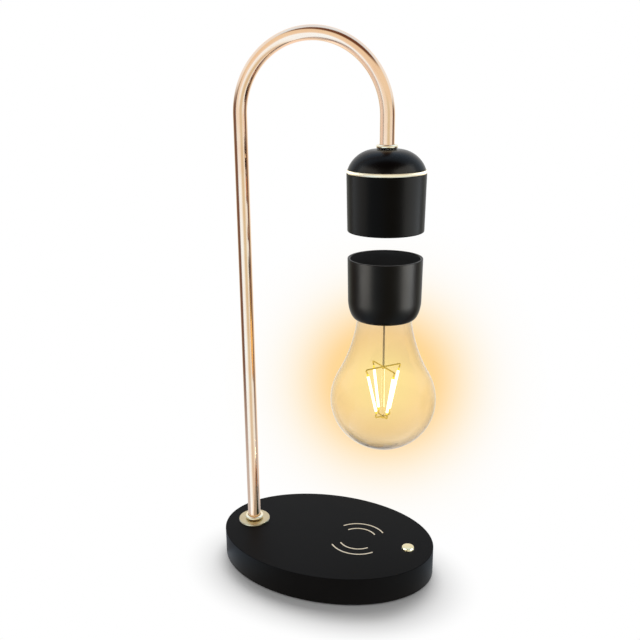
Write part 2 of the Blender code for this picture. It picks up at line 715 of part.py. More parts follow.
def make_power_jack(finishes):
    """The round power socket in the rear wall, with its centre pin."""
    middle_z = jack_middle_z()
    front_y = HALF_WIDTH - BASE_WALL - SEAT_GAP
    nose_y = HALF_WIDTH - JACK_FACE_RECESS
    body = box(
        "power_jack", (JACK_WIDTH, JACK_DEPTH, JACK_HEIGHT), (0, front_y - JACK_DEPTH / 2, middle_z),
        finishes["matte_black"],
    )
    lay_back = (-QUARTER_TURN, 0, 0)
    nose = cylinder("jack_nose", JACK_NOSE_RADIUS, front_y - UNION_DEPTH, nose_y)
    bore = ring(
        "jack_bore", JACK_PIN_RADIUS, JACK_BORE_RADIUS, nose_y - JACK_BORE_DEPTH,
        nose_y + CUT_OVERRUN, steps=SMALL_STEPS,
    )
    pin_end = cylinder(
        "jack_pin_end", JACK_BORE_RADIUS - SEAT_GAP, nose_y - JACK_PIN_RECESS, nose_y + CUT_OVERRUN
    )
    for tool in (nose, bore, pin_end):
        tool.rotation_euler = lay_back
        tool.location = (0, 0, middle_z)
    boolean(body, nose, "UNION")
    boolean(body, bore)
    boolean(body, pin_end)


def make_button(finishes, pivot):
    """The gold button that slides down, with the switch plunger under it."""
    levels = switch_levels()
    side_top = BASE_TOP_Z + BUTTON_PROUD - BUTTON_DOME_RISE
    dome_radius = (BUTTON_RADIUS ** 2 + BUTTON_DOME_RISE ** 2) / (2 * BUTTON_DOME_RISE)
    dome_centre = BASE_TOP_Z + BUTTON_PROUD - dome_radius
    edge_angle = math.asin((side_top - dome_centre) / dome_radius)
    dome = arc(0, dome_centre, dome_radius, QUARTER_TURN, edge_angle, BUTTON_DOME_STEPS)
    outline = [(0, BASE_TOP_Z + BUTTON_PROUD)] + dome[1:] + [
        (BUTTON_RADIUS, levels["skirt_top"]),
        (BUTTON_SKIRT_RADIUS, levels["skirt_top"]),
        (BUTTON_SKIRT_RADIUS, levels["skirt_foot"]),
        (0, levels["skirt_foot"]),
    ]
    turned("button_cap", outline, finishes["pale_gold"], steps=MEDIUM_STEPS, parent=pivot)
    cylinder(
        "switch_plunger", PLUNGER_RADIUS, levels["switch_top"] - PLUNGER_ENGAGEMENT,
        levels["plunger_top"], finishes["steel"], parent=pivot,
    )


def make_switch(finishes):
    """The tactile switch and the small board that carries it."""
    levels = switch_levels()
    place = (BUTTON_X, BUTTON_OFF_AXIS)
    housing = box(
        "switch_housing", (SWITCH_SIZE, SWITCH_SIZE, SWITCH_HEIGHT),
        (*place, (levels["switch_foot"] + levels["switch_top"]) / 2), finishes["matte_black"],
    )
    bore_foot = levels["switch_top"] - PLUNGER_ENGAGEMENT - BUTTON_TRAVEL - SEAT_GAP
    bore = cylinder(
        "switch_bore", PLUNGER_RADIUS + SEAT_GAP, bore_foot, levels["switch_top"] + CUT_OVERRUN,
        place=place,
    )
    boolean(housing, bore)
    board = box(
        "switch_board", (SWITCH_BOARD_LENGTH, SWITCH_BOARD_WIDTH, SWITCH_BOARD_THICKNESS),
        (*place, (levels["board_foot"] + levels["board_top"]) / 2), finishes["board_green"],
    )
    for index, post in enumerate(switch_post_places(), 1):
        hole = cylinder(
            f"stake_hole_{index}", SWITCH_STAKE_RADIUS + SEAT_GAP,
            levels["board_foot"] - CUT_OVERRUN, levels["board_top"] + CUT_OVERRUN, place=post,
        )
        boolean(board, hole)


def arm_route(foot_z, end_z):
    """Centre line of the arm: up the post, over the half circle, down to the head."""
    radius = ARM_SPAN / 2
    middle_x = POST_X + radius
    route = [(POST_X, 0, foot_z)]
    for index in range(ARCH_STEPS + 1):
        angle = math.pi * (1 - index / ARCH_STEPS)
        route.append((
            middle_x + radius * math.cos(angle), 0, ARCH_SPRING_Z + radius * math.sin(angle),
        ))
    route.append((HEAD_X, 0, end_z))
    return route


def make_arm_tube(finishes):
    """The polished tube, bent over a half circle, with its bore."""
    tube = wire(
        "arm_tube", arm_route(TUBE_FOOT_Z, COLLAR_ON_DOME_Z), TUBE_RADIUS,
        finishes["rose_gold"], steps=TUBE_STEPS,
    )
    bore = wire(
        "tube_bore", arm_route(TUBE_FOOT_Z - CUT_OVERRUN, COLLAR_ON_DOME_Z - CUT_OVERRUN),
        TUBE_BORE_RADIUS, steps=BORE_STEPS,
    )
    boolean(tube, bore)


def collar_outline(foot_z):
    """Section of a collar: a rounded bead about the tube."""
    top_z = foot_z + COLLAR_HEIGHT
    corner_radius = COLLAR_RADIUS - COLLAR_ROUND
    upper = arc(corner_radius, top_z - COLLAR_ROUND, COLLAR_ROUND, QUARTER_TURN, 0, CORNER_STEPS)
    lower = arc(corner_radius, foot_z + COLLAR_ROUND, COLLAR_ROUND, 0, -QUARTER_TURN, CORNER_STEPS)
    return [(COLLAR_HOLE_RADIUS, foot_z), (COLLAR_HOLE_RADIUS, top_z)] + upper + lower


def make_arm_fittings(finishes):
    """The flange and collar at the foot, the collar on the head, nipples, washer and nuts."""
    post = (POST_X, 0)
    head = (HEAD_X, 0)
    gold = finishes["pale_gold"]
    edge = arc(
        FLANGE_RADIUS - FLANGE_EDGE_ROUND, FLANGE_TOP_Z - FLANGE_EDGE_ROUND, FLANGE_EDGE_ROUND,
        QUARTER_TURN, 0, CORNER_STEPS,
    )
    outline = [(NIPPLE_HOLE_RADIUS, FLANGE_FOOT_Z), (NIPPLE_HOLE_RADIUS, FLANGE_TOP_Z)]
    outline += edge + [(FLANGE_RADIUS, FLANGE_FOOT_Z)]
    turned("foot_flange", outline, gold, post, MEDIUM_STEPS, closed=True)
    turned("foot_collar", collar_outline(TUBE_FOOT_Z), gold, post, MEDIUM_STEPS, closed=True)
    turned("head_collar", collar_outline(COLLAR_ON_DOME_Z), gold, head, MEDIUM_STEPS, closed=True)

    steel = finishes["steel"]
    washer_top = BASE_CEILING_Z - SEAT_GAP
    washer_foot = washer_top - WASHER_THICKNESS
    ring("post_washer", NIPPLE_HOLE_RADIUS, WASHER_RADIUS, washer_foot, washer_top, steel, post,
         SMALL_STEPS)
    make_nut("post_nut", washer_foot - SEAT_GAP, steel, post)
    nipple_foot = washer_foot - SEAT_GAP - NUT_THICKNESS - NIPPLE_BELOW_NUT
    ring("post_nipple", NIPPLE_BORE_RADIUS, NIPPLE_RADIUS, nipple_foot,
         TUBE_FOOT_Z + NIPPLE_IN_TUBE, steel, post, SMALL_STEPS)
    make_nut("head_nut", DOME_CEILING_Z - SEAT_GAP, steel, head)
    nipple_foot = DOME_CEILING_Z - SEAT_GAP - NUT_THICKNESS - NIPPLE_BELOW_NUT
    ring("head_nipple", NIPPLE_BORE_RADIUS, NIPPLE_RADIUS, nipple_foot,
         COLLAR_ON_DOME_Z + NIPPLE_IN_TUBE, steel, head, SMALL_STEPS)


def make_nut(name, top_z, finish, place):
    """A hexagon nut on a nipple."""
    nut = cylinder(name, NUT_RADIUS, top_z - NUT_THICKNESS, top_z, finish, place, steps=NUT_SIDES)
    hole = cylinder(
        name + "_hole", NIPPLE_HOLE_RADIUS, top_z - NUT_THICKNESS - CUT_OVERRUN,
        top_z + CUT_OVERRUN, place=place,
    )
    boolean(nut, hole)


def smooth_points(points, samples):
    """Points of a smooth curve through a route's own points."""
    padded = [points[0]] + list(points) + [points[-1]]
    route = []
    for index in range(1, len(padded) - 2):
        before, start, end, after = (Vector(padded[index + offset]) for offset in (-1, 0, 1, 2))
        for sample in range(samples):
            share = sample / samples
            route.append(
                0.5 * (
                    2 * start + (end - before) * share
                    + (2 * before - 5 * start + 4 * end - after) * share ** 2
                    + (3 * start - before - 3 * end + after) * share ** 3
                )
            )
    route.append(Vector(points[-1]))
    return [tuple(point) for point in route]


def make_arm_cable(finishes):
    """The wires inside the arm, from the charging board up the tube to the head's board."""
    board_cable_z = BOARD_TOP_Z + PLUG_BLOCK_HEIGHT / 2
    nipple_foot = BASE_CEILING_Z - WASHER_THICKNESS - NUT_THICKNESS - NIPPLE_BELOW_NUT - 2 * SEAT_GAP
    fall = nipple_foot - board_cable_z
    block_face_x = plug_block_x() - PLUG_BLOCK_LENGTH / 2 - SEAT_GAP
    run = block_face_x - POST_X
    tail_shares = ((0, 0.4), (0.05, -0.2), (0.20, -0.7), (0.42, -0.5), (0.66, -0.1), (0.85, 0))
    tail = [
        (POST_X + run * along, 0, board_cable_z + fall * up) for along, up in tail_shares
    ]
    tail.append((block_face_x, 0, board_cable_z))
    board_end = smooth_points([(POST_X, 0, nipple_foot)] + tail, CABLE_SAMPLES)
    board_end.reverse()
    cable_end_z = HEAD_LEDGE_Z + SEAT_GAP + BOARD_THICKNESS + PLUG_BLOCK_HEIGHT + SEAT_GAP
    route = board_end + arm_route(TUBE_FOOT_Z, cable_end_z)
    wire("arm_cable", route, CABLE_RADIUS, finishes["cable_sheath"])


def make_head_shells(finishes):
    """The domed top, the gold ring and the cup-shaped housing of the magnet head."""
    head = (HEAD_X, 0)
    rim_radius = RING_RADIUS - DOME_RIM_INSET
    rim_angle = math.acos((rim_radius - DOME_FLAT_RADIUS) / DOME_CROWN_RADIUS)
    crown = arc(
        DOME_FLAT_RADIUS, DOME_CENTRE_Z, DOME_CROWN_RADIUS, QUARTER_TURN, rim_angle, CROWN_STEPS
    )
    spigot_foot = HEAD_LEDGE_Z + SEAT_GAP + BOARD_THICKNESS + SEAT_GAP
    inner_crown_radius = DOME_CROWN_RADIUS - DOME_WALL
    inner_reach = min(SPIGOT_BORE_RADIUS - DOME_FLAT_RADIUS, inner_crown_radius)
    inner_angle = math.acos(inner_reach / inner_crown_radius)
    ceiling = arc(
        DOME_FLAT_RADIUS, DOME_CENTRE_Z, inner_crown_radius, inner_angle, QUARTER_TURN,
        CEILING_STEPS,
    )
    outline = [(SPIGOT_BORE_RADIUS, spigot_foot)] + ceiling
    outline += [(NIPPLE_HOLE_RADIUS, DOME_CEILING_Z), (NIPPLE_HOLE_RADIUS, DOME_TOP_Z)] + crown
    outline += [(SPIGOT_RADIUS, DOME_RIM_Z), (SPIGOT_RADIUS, spigot_foot)]
    turned("head_dome", outline, finishes["satin_black"], head, closed=True)

    bulge = []
    for index in range(RING_BULGE_STEPS + 1):
        share = index / RING_BULGE_STEPS
        out = RING_BULGE * math.sin(math.pi * share)
        bulge.append((RING_RADIUS - RING_BULGE + out, RING_TOP_Z - RING_HEIGHT * share))
    outline = [(HEAD_BORE_RADIUS, RING_FOOT_Z), (HEAD_BORE_RADIUS, RING_TOP_Z)] + bulge
    turned("head_ring", outline, finishes["pale_gold"], head, closed=True)

    lower_bore = HEAD_BORE_RADIUS - HEAD_LEDGE_WIDTH
    corner = arc(
        HEAD_BOTTOM_RADIUS - HEAD_EDGE_ROUND, HEAD_BOTTOM_Z + HEAD_EDGE_ROUND, HEAD_EDGE_ROUND,
        0, -QUARTER_TURN, CORNER_STEPS,
    )
    outline = [
        (0, HEAD_FLOOR_Z),
        (lower_bore, HEAD_FLOOR_Z),
        (lower_bore, HEAD_LEDGE_Z),
        (HEAD_BORE_RADIUS, HEAD_LEDGE_Z),
        (HEAD_BORE_RADIUS, HOUSING_TOP_Z),
        (HEAD_TOP_RADIUS, HOUSING_TOP_Z),
    ]
    outline += corner + [(0, HEAD_BOTTOM_Z)]
    turned("head_housing", outline, finishes["satin_black"], head)


def make_head_works(finishes):
    """What makes the bulb float: coils, core, magnet, sensor and control board."""
    head = (HEAD_X, 0)
    coil_foot = HEAD_FLOOR_Z + SEAT_GAP
    coil_top = coil_foot + TRANSMITTER_THICKNESS
    ring(
        "transmitter_coil", TRANSMITTER_INNER_RADIUS, TRANSMITTER_OUTER_RADIUS, coil_foot, coil_top,
        finishes["copper_wire"], head,
    )
    box(
        "hall_sensor", (SENSOR_LENGTH, SENSOR_WIDTH, SENSOR_THICKNESS),
        (HEAD_X, 0, coil_foot + SENSOR_THICKNESS / 2), finishes["matte_black"],
    )
    bobbin_foot = coil_top + SEAT_GAP
    bobbin_top = HEAD_LEDGE_Z - HOLDING_MAGNET_THICKNESS - SEAT_GAP
    bore = CORE_RADIUS + SEAT_GAP
    tube = bore + BOBBIN_TUBE_WALL
    lower_face = bobbin_foot + BOBBIN_FLANGE_THICKNESS
    upper_face = bobbin_top - BOBBIN_FLANGE_THICKNESS
    outline = [
        (bore, bobbin_foot), (bore, bobbin_top),
        (BOBBIN_FLANGE_RADIUS, bobbin_top), (BOBBIN_FLANGE_RADIUS, upper_face),
        (tube, upper_face), (tube, lower_face),
        (BOBBIN_FLANGE_RADIUS, lower_face), (BOBBIN_FLANGE_RADIUS, bobbin_foot),
    ]
    turned("magnet_bobbin", outline, finishes["matte_black"], head, MEDIUM_STEPS, closed=True)
    cylinder("magnet_core", CORE_RADIUS, bobbin_foot, bobbin_top, finishes["steel"], head)
    ring(
        "magnet_winding", tube + SEAT_GAP, BOBBIN_FLANGE_RADIUS - SEAT_GAP, lower_face + SEAT_GAP,
        upper_face - SEAT_GAP, finishes["copper_wire"], head,
    )
    cylinder(
        "holding_magnet", HOLDING_MAGNET_RADIUS, bobbin_top + SEAT_GAP, HEAD_LEDGE_Z,
        finishes["magnet_nickel"], head, MEDIUM_STEPS,
    )
    board_foot = HEAD_LEDGE_Z + SEAT_GAP
    board_top = board_foot + BOARD_THICKNESS
    board = cylinder(
        "head_board", SPIGOT_RADIUS, board_foot, board_top, finishes["board_green"], head,
        MEDIUM_STEPS,
    )
    low = board_top - UNION_DEPTH
    high = board_top + PLUG_BLOCK_HEIGHT
    block = box(
        "head_plug_block", (PLUG_BLOCK_LENGTH, PLUG_BLOCK_WIDTH, high - low),
        (HEAD_X, 0, (low + high) / 2),
    )
    boolean(board, block, "UNION")


def cap_outer_radius(height_z):
    """Outside radius of the cap at a height: a slight taper, then the rounded shoulder."""
    if height_z >= CAP_SHOULDER_Z:
        share = (height_z - CAP_SHOULDER_Z) / (CAP_TOP_Z - CAP_SHOULDER_Z)
        return CAP_WAIST_RADIUS + (CAP_TOP_RADIUS - CAP_WAIST_RADIUS) * share
    share = min((CAP_SHOULDER_Z - height_z) / CAP_SHOULDER_HEIGHT, 1)
    bulge = (1 - share ** CAP_SHOULDER_POWER) ** (1 / CAP_SHOULDER_POWER)
    return CAP_MOUTH_RADIUS + (CAP_WAIST_RADIUS - CAP_MOUTH_RADIUS) * bulge


def shoulder_heights(start_z, end_z, steps):
    """Heights along the shoulder, closer together where it turns in."""
    span = end_z - start_z
    return [start_z + span * math.sin(math.pi / 2 * index / steps) for index in range(steps + 1)]


def make_cap(finishes, pivot):
    """The black cap of the bulb and the rough disc let into its top."""
    mouth_bore = GLASS_NECK_RADIUS + SEAT_GAP
    floor_z = CAP_MOUTH_Z + CAP_FLOOR
    inside = [
        (min(cap_outer_radius(height) - CAP_WALL, CAP_LOWER_BORE_RADIUS), height)
        for height in reversed(shoulder_heights(CAP_SHOULDER_Z, floor_z, INNER_SHOULDER_STEPS))
    ]
    rebate = LID_RADIUS + SEAT_GAP
    rim = arc(
        CAP_TOP_RADIUS - CAP_RIM_ROUND, CAP_TOP_Z - CAP_RIM_ROUND, CAP_RIM_ROUND,
        QUARTER_TURN, 0, CORNER_STEPS,
    )
    outside = [
        (cap_outer_radius(height), height)
        for height in shoulder_heights(CAP_SHOULDER_Z, CAP_MOUTH_Z, SHOULDER_STEPS)
    ]
    outline = [(mouth_bore, CAP_MOUTH_Z), (mouth_bore, floor_z)] + inside
    outline += [
        (CAP_LOWER_BORE_RADIUS, CAP_LEDGE_Z), (CAP_BORE_RADIUS, CAP_LEDGE_Z),
        (CAP_BORE_RADIUS, CAP_SHELF_Z), (rebate, CAP_SHELF_Z), (rebate, CAP_TOP_Z),
    ]
    outline += rim + outside
    turned("bulb_cap", outline, finishes["satin_black"], closed=True, parent=pivot)
    cylinder(
        "cap_lid", LID_RADIUS, LID_FOOT_Z, CAP_TOP_Z - LID_RECESS, finishes["matte_black"],
        steps=LARGE_STEPS, parent=pivot,
    )


def make_cap_works(finishes, pivot, magnet_pivot):
    """The magnet that is held up, and the receiver coil that feeds the filaments."""
    cylinder(
        "bulb_magnet", BULB_MAGNET_RADIUS, CARRIER_TOP_Z + SEAT_GAP, CAP_SHELF_Z,
        finishes["magnet_nickel"], steps=MEDIUM_STEPS, parent=magnet_pivot,
    )
    cylinder(
        "magnet_carrier", CAP_BORE_RADIUS - SEAT_GAP, CARRIER_FOOT_Z, CARRIER_TOP_Z,
        finishes["matte_black"], steps=MEDIUM_STEPS, parent=pivot,
    )
    outer = CAP_BORE_RADIUS - SEAT_GAP
    inner = outer - RECEIVER_WIDTH
    ferrite_foot = CARRIER_TOP_Z + SEAT_GAP
    ferrite_top = ferrite_foot + RECEIVER_FERRITE_THICKNESS
    ring(
        "receiver_ferrite", inner, outer, ferrite_foot, ferrite_top, finishes["ferrite"],
        parent=pivot,
    )
    coil_foot = ferrite_top + SEAT_GAP
    ring(
        "receiver_coil", inner, outer, coil_foot, coil_foot + RECEIVER_THICKNESS,
        finishes["copper_wire"], parent=pivot,
    )
    driver_foot = HOLDER_TOP_Z + SEAT_GAP
    driver_top = driver_foot + DRIVER_THICKNESS
    driver = cylinder(
        "driver_board", DRIVER_RADIUS, driver_foot, driver_top, finishes["board_green"],
        steps=MEDIUM_STEPS, parent=pivot,
    )
    low = driver_top - UNION_DEPTH
    high = driver_top + INDUCTOR_HEIGHT
    block = box(
        "driver_inductor", (INDUCTOR_SIZE, INDUCTOR_SIZE, high - low), (HEAD_X, 0, (low + high) / 2)
    )
    boolean(driver, block, "UNION")


def glass_section(wall):
    """Half outline of the glass, from its tip up to the neck, moved in by a wall."""
    radius = GLASS_RADIUS - wall
    drop = GLASS_DROP - wall
    tip = [(0, GLASS_CENTRE_Z - drop)]
    for index in range(1, GLASS_TIP_STEPS + 1):
        angle = -QUARTER_TURN * (1 - index / GLASS_TIP_STEPS)
        tip.append((radius * math.cos(angle), GLASS_CENTRE_Z + drop * math.sin(angle)))
    globe = arc(0, GLASS_CENTRE_Z, radius, 0, GLASS_WAIST_ANGLE, GLASS_GLOBE_STEPS)
    waist = GLASS_WAIST_RADIUS + wall
    reach = GLASS_RADIUS + GLASS_WAIST_RADIUS
    waist_x = reach * math.cos(GLASS_WAIST_ANGLE)
    waist_z = GLASS_CENTRE_Z + reach * math.sin(GLASS_WAIST_ANGLE)
    neck_angle = math.acos(min((waist_x - GLASS_NECK_RADIUS + wall) / waist, 1))
    turn_in = []
    for index in range(1, GLASS_WAIST_STEPS + 1):
        angle = GLASS_WAIST_ANGLE + (neck_angle - GLASS_WAIST_ANGLE) * index / GLASS_WAIST_STEPS
        turn_in.append((waist_x - waist * math.cos(angle), waist_z - waist * math.sin(angle)))
    return tip + globe[1:] + turn_in


def make_glass(finishes, pivot):
    """The bulb's glass: one thin wall, open at the neck."""
    inside = glass_section(GLASS_WALL)
    outside = glass_section(0)
    outside.reverse()
    outline = inside + [(GLASS_BORE_RADIUS, GLASS_RIM_Z), (GLASS_NECK_RADIUS, GLASS_RIM_Z)] + outside
    turned("bulb_glass", outline, finishes["clear_glass"], parent=pivot)


def make_holder(finishes, pivot):
    """The plug that closes the glass neck and carries the filament stem."""
    plug_radius = GLASS_BORE_RADIUS - SEAT_GAP
    flange_radius = cap_outer_radius(HOLDER_FLANGE_Z) - CAP_WALL - SEAT_GAP
    outline = [
        (0, HOLDER_TOP_Z), (flange_radius, HOLDER_TOP_Z), (flange_radius, HOLDER_FLANGE_Z),
        (plug_radius, HOLDER_FLANGE_Z), (plug_radius, HOLDER_FOOT_Z), (0, HOLDER_FOOT_Z),
    ]
    holder = turned(
        "stem_holder", outline, finishes["matte_black"], steps=MEDIUM_STEPS, parent=pivot
    )
    socket = cylinder(
        "stem_socket", STEM_RADIUS + SEAT_GAP, HOLDER_FOOT_Z - CUT_OVERRUN,
        HOLDER_FOOT_Z + STEM_IN_HOLDER + SEAT_GAP, place=(HEAD_X, 0), steps=WIRE_STEPS,
    )
    boolean(holder, socket)


def polar(reach, turn, height):
    """A point at a distance and direction from the bulb's axis."""
    return (reach * math.cos(turn), reach * math.sin(turn), height)


def filament_turns():
    """Directions of the filaments about the bulb's axis."""
    return [
        FILAMENT_TURN + 2 * math.pi * index / FILAMENT_COUNT for index in range(FILAMENT_COUNT)
    ]


def make_spider(name, height, leg_points, finish, pivot):
    """A hub with one bent wire for each filament."""
    hub = cylinder(
        name, SPIDER_HUB_RADIUS, height - SPIDER_HUB_HEIGHT / 2, height + SPIDER_HUB_HEIGHT / 2,
        finish, parent=pivot,
    )
    for index, turn in enumerate(filament_turns(), 1):
        points = [(0, 0, height)] + [polar(reach, turn, level) for reach, level in leg_points]
        leg = wire(f"{name}_leg_{index}", points, SPIDER_WIRE_RADIUS)
        leg.location = (HEAD_X, 0, 0)
        boolean(hub, leg, "UNION")


def make_filaments(finishes, pivot):
    """Stem, rod, two wire spiders and the glowing filaments between them."""
    gold = finishes["pale_gold"]
    hub_half = SPIDER_HUB_HEIGHT / 2
    lower_z = SPIDER_Z - LOWER_SPIDER_DROP
    cylinder(
        "filament_stem", STEM_RADIUS, SPIDER_Z + hub_half + SEAT_GAP, HOLDER_FOOT_Z + STEM_IN_HOLDER,
        finishes["steel"], steps=WIRE_STEPS, parent=pivot,
    )
    cylinder(
        "glass_rod", POST_ROD_RADIUS, lower_z + hub_half + SEAT_GAP, SPIDER_Z - hub_half - SEAT_GAP,
        finishes["clear_glass"], parent=pivot,
    )
    top = Vector((FILAMENT_TOP_REACH, 0, SPIDER_Z - FILAMENT_TOP_DROP))
    foot = Vector((FILAMENT_FOOT_REACH, 0, SPIDER_Z - FILAMENT_FOOT_DROP))
    along = (top - foot).normalized()
    upper_end = top + along * SEAT_GAP
    lower_end = foot - along * SEAT_GAP
    make_spider(
        "upper_spider", SPIDER_Z,
        [(SPIDER_REACH - SPIDER_LEG_INSET, SPIDER_Z), (upper_end.x, upper_end.z)], gold, pivot,
    )
    make_spider(
        "lower_spider", lower_z,
        [(LOWER_SPIDER_REACH, lower_z + LOWER_SPIDER_RISE), (lower_end.x, lower_end.z)],
        gold, pivot,
    )
    half = (top - foot).length / 2
    body_half = half - FILAMENT_TERMINAL_LENGTH
    outline = [
        (0, half), (FILAMENT_TERMINAL_RADIUS, half), (FILAMENT_TERMINAL_RADIUS, body_half),
        (FILAMENT_RADIUS, body_half), (FILAMENT_RADIUS, -body_half),
        (FILAMENT_TERMINAL_RADIUS, -body_half), (FILAMENT_TERMINAL_RADIUS, -half), (0, -half),
    ]
    lean = math.atan2(along.x, along.z)
    middle = (top + foot) / 2
    for index, turn in enumerate(filament_turns(), 1):
        rod = turned(
            f"filament_{index}", outline, finishes["filament"], steps=FILAMENT_STEPS, parent=pivot
        )
        rod.location = polar(middle.x, turn, middle.z)
        rod.rotation_euler = (Matrix.Rotation(turn, 4, "Z") @ Matrix.Rotation(lean, 4, "Y")).to_euler()


clear_scene()
lamp = new_collection("levitating_lamp")
cutters = new_collection("cutters")
all_finishes = make_surfaces()

make_base_shell(all_finishes)
make_base_plate(all_finishes)
make_feet(all_finishes)
make_base_screws(all_finishes)
make_ballast(all_finishes)
make_charging_coil(all_finishes)
make_charging_board(all_finishes)
make_power_jack(all_finishes)
make_switch(all_finishes)
button_pivot = add_pivot("button_pivot", (BUTTON_X, BUTTON_OFF_AXIS, 0))
make_button(all_finishes, button_pivot)

make_arm_tube(all_finishes)
make_arm_fittings(all_finishes)
make_arm_cable(all_finishes)
make_head_shells(all_finishes)
make_head_works(all_finishes)

hover_pivot = add_pivot("hover_pivot", (HEAD_X, 0, 0))
bulb_pivot = add_pivot("bulb_pivot", (0, 0, 0))
bulb_pivot.parent = hover_pivot
make_cap(all_finishes, bulb_pivot)
make_cap_works(all_finishes, bulb_pivot, hover_pivot)
make_glass(all_finishes, bulb_pivot)
make_holder(all_finishes, bulb_pivot)
make_filaments(all_finishes, bulb_pivot)
bpy.context.view_layer.update()
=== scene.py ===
# %% [markdown]
# # A levitating lamp, dressed piece by piece
#
# The lamp stands on an oval charging base. A polished tube rises near one end, bends over a
# half circle and carries a black magnet head. Under the head a light bulb floats, held by
# nothing but the head's magnetic field.
#
# The solids of the finished construction are loaded first. They are exact but coarse: round
# walls are made of flat strips and every finish is one plain colour. They give this lesson
# all its sizes and places, and it puts a finely modelled piece over each one that shows.

# %% Load the solids
import math

import bmesh
import bpy
from mathutils import Matrix, Vector


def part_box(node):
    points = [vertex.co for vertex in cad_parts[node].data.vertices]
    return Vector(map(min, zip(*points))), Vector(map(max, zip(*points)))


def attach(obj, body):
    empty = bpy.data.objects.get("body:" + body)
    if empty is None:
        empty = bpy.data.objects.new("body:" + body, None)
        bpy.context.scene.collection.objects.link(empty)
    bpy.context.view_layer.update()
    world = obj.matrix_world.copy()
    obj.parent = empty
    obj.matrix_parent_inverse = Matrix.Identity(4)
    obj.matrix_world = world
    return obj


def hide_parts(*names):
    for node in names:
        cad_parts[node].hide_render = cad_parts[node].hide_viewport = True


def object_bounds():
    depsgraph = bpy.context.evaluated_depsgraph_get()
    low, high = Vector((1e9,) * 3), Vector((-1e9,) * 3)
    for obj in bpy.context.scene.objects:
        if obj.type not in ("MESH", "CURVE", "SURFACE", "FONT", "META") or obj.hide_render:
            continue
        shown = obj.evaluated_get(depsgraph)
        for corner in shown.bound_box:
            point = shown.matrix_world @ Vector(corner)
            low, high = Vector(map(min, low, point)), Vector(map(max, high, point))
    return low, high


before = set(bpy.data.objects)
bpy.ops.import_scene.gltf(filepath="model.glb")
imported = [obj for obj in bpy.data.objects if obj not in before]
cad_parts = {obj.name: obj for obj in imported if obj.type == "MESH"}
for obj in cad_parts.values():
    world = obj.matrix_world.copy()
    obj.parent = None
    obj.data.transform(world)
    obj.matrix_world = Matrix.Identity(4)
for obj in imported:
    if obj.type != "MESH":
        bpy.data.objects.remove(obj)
solid_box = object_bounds()
MM = 0.001
solid_sides = [round(side / MM, 1) for side in solid_box[1] - solid_box[0]]
print(len(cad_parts), "solids,", solid_sides, "mm")

# %% [markdown]
# ## Camera
#
# A camera can be placed by eye, or worked out from straight and round edges that are seen in
# a picture. Here it was worked out, from the outlines of the base, tube, head and bulb, so
# that the lamp fills the frame as it does in its portrait. The three angles are how far the
# camera stands round the lamp, how far it looks down, and how much it is tilted.

# %% Camera
camera_place = Vector((190.58, -526.90, 372.10)) * MM
turn, look_down, tilt = (math.radians(angle) for angle in (20.33, 17.09, -0.47))
FOCAL_LENGTH = 44.98
forward = Vector((
    -math.sin(turn) * math.cos(look_down),
    math.cos(turn) * math.cos(look_down),
    -math.sin(look_down),
))
level_right = Vector((math.cos(turn), math.sin(turn), 0))
level_up = level_right.cross(forward)
camera_right = level_right * math.cos(tilt) + level_up * math.sin(tilt)
camera_up = level_up * math.cos(tilt) - level_right * math.sin(tilt)
camera_axes = Matrix((camera_right, camera_up, -forward)).transposed()
bpy.ops.object.camera_add(location=camera_place, rotation=camera_axes.to_euler())
camera = bpy.context.object
camera.name = "portrait_camera"
camera.data.sensor_fit = "HORIZONTAL"
camera.data.sensor_width = 36
camera.data.lens = FOCAL_LENGTH
camera.data.clip_start = 10 * MM
bpy.context.scene.camera = camera
print("camera looks along", [round(part, 3) for part in forward])

# %% [markdown]
# ## Shader groups
#
# Real surfaces are never perfectly even. Moulded plastic has a fine grain and slightly
# cloudy gloss, turned metal shows rings, and a wound coil shows its turns. Each of these is
# made once as a node group with named inputs and placed in every finish that needs it. The
# patterns read Object coordinates, which are in metres here, so their size is a real size.

# %% A helper for new shader groups
def new_group(title, inputs, outputs, colours=()):
    """An empty shader group. inputs maps names to default values, outputs lists names."""
    group = bpy.data.node_groups.new(title, "ShaderNodeTree")
    for name, value in inputs.items():
        kind = "NodeSocketVector" if isinstance(value, tuple) else "NodeSocketFloat"
        group.interface.new_socket(name, in_out="INPUT", socket_type=kind).default_value = value
    for name in (*outputs, *colours):
        kind = "NodeSocketColor" if name in colours else "NodeSocketFloat"
        group.interface.new_socket(name, in_out="OUTPUT", socket_type=kind)
    return group


# %% [markdown]
# A node's inputs take either plain values or the outputs of other nodes. `feed` tells the two
# apart, so that one line can add a node with all that it needs.

# %% Helpers for nodes
def feed(tree, socket, value):
    """Give an input a plain value, or a link if the value is another node's output."""
    if isinstance(value, bpy.types.NodeSocket):
        tree.links.new(value, socket)
    else:
        socket.default_value = (*value[:3], 1) if socket.type == "RGBA" else value


def add_node(tree, kind, plugs=(), **settings):
    """Add a node. settings fill properties or inputs by name, plugs fill inputs by number."""
    node = tree.nodes.new(kind)
    for name, value in settings.items():
        if name in node.bl_rna.properties:
            setattr(node, name, value)
        else:
            feed(tree, node.inputs[name.replace("_", " ")], value)
    for index, value in dict(plugs).items():
        feed(tree, node.inputs[index], value)
    return node


def object_place(tree):
    """The place on the object, in metres."""
    return add_node(tree, "ShaderNodeTexCoord").outputs["Object"]


# %% [markdown]
# Small helpers on top of it do one sum, one colour mix, one change of range and one colour
# ramp each. They return a socket, so that they can be put into each other like a formula.

# %% Helpers for sums and colours
def calc(tree, operation, first, second=0.0):
    """One sum with two numbers."""
    return add_node(tree, "ShaderNodeMath", {0: first, 1: second}, operation=operation).outputs[0]


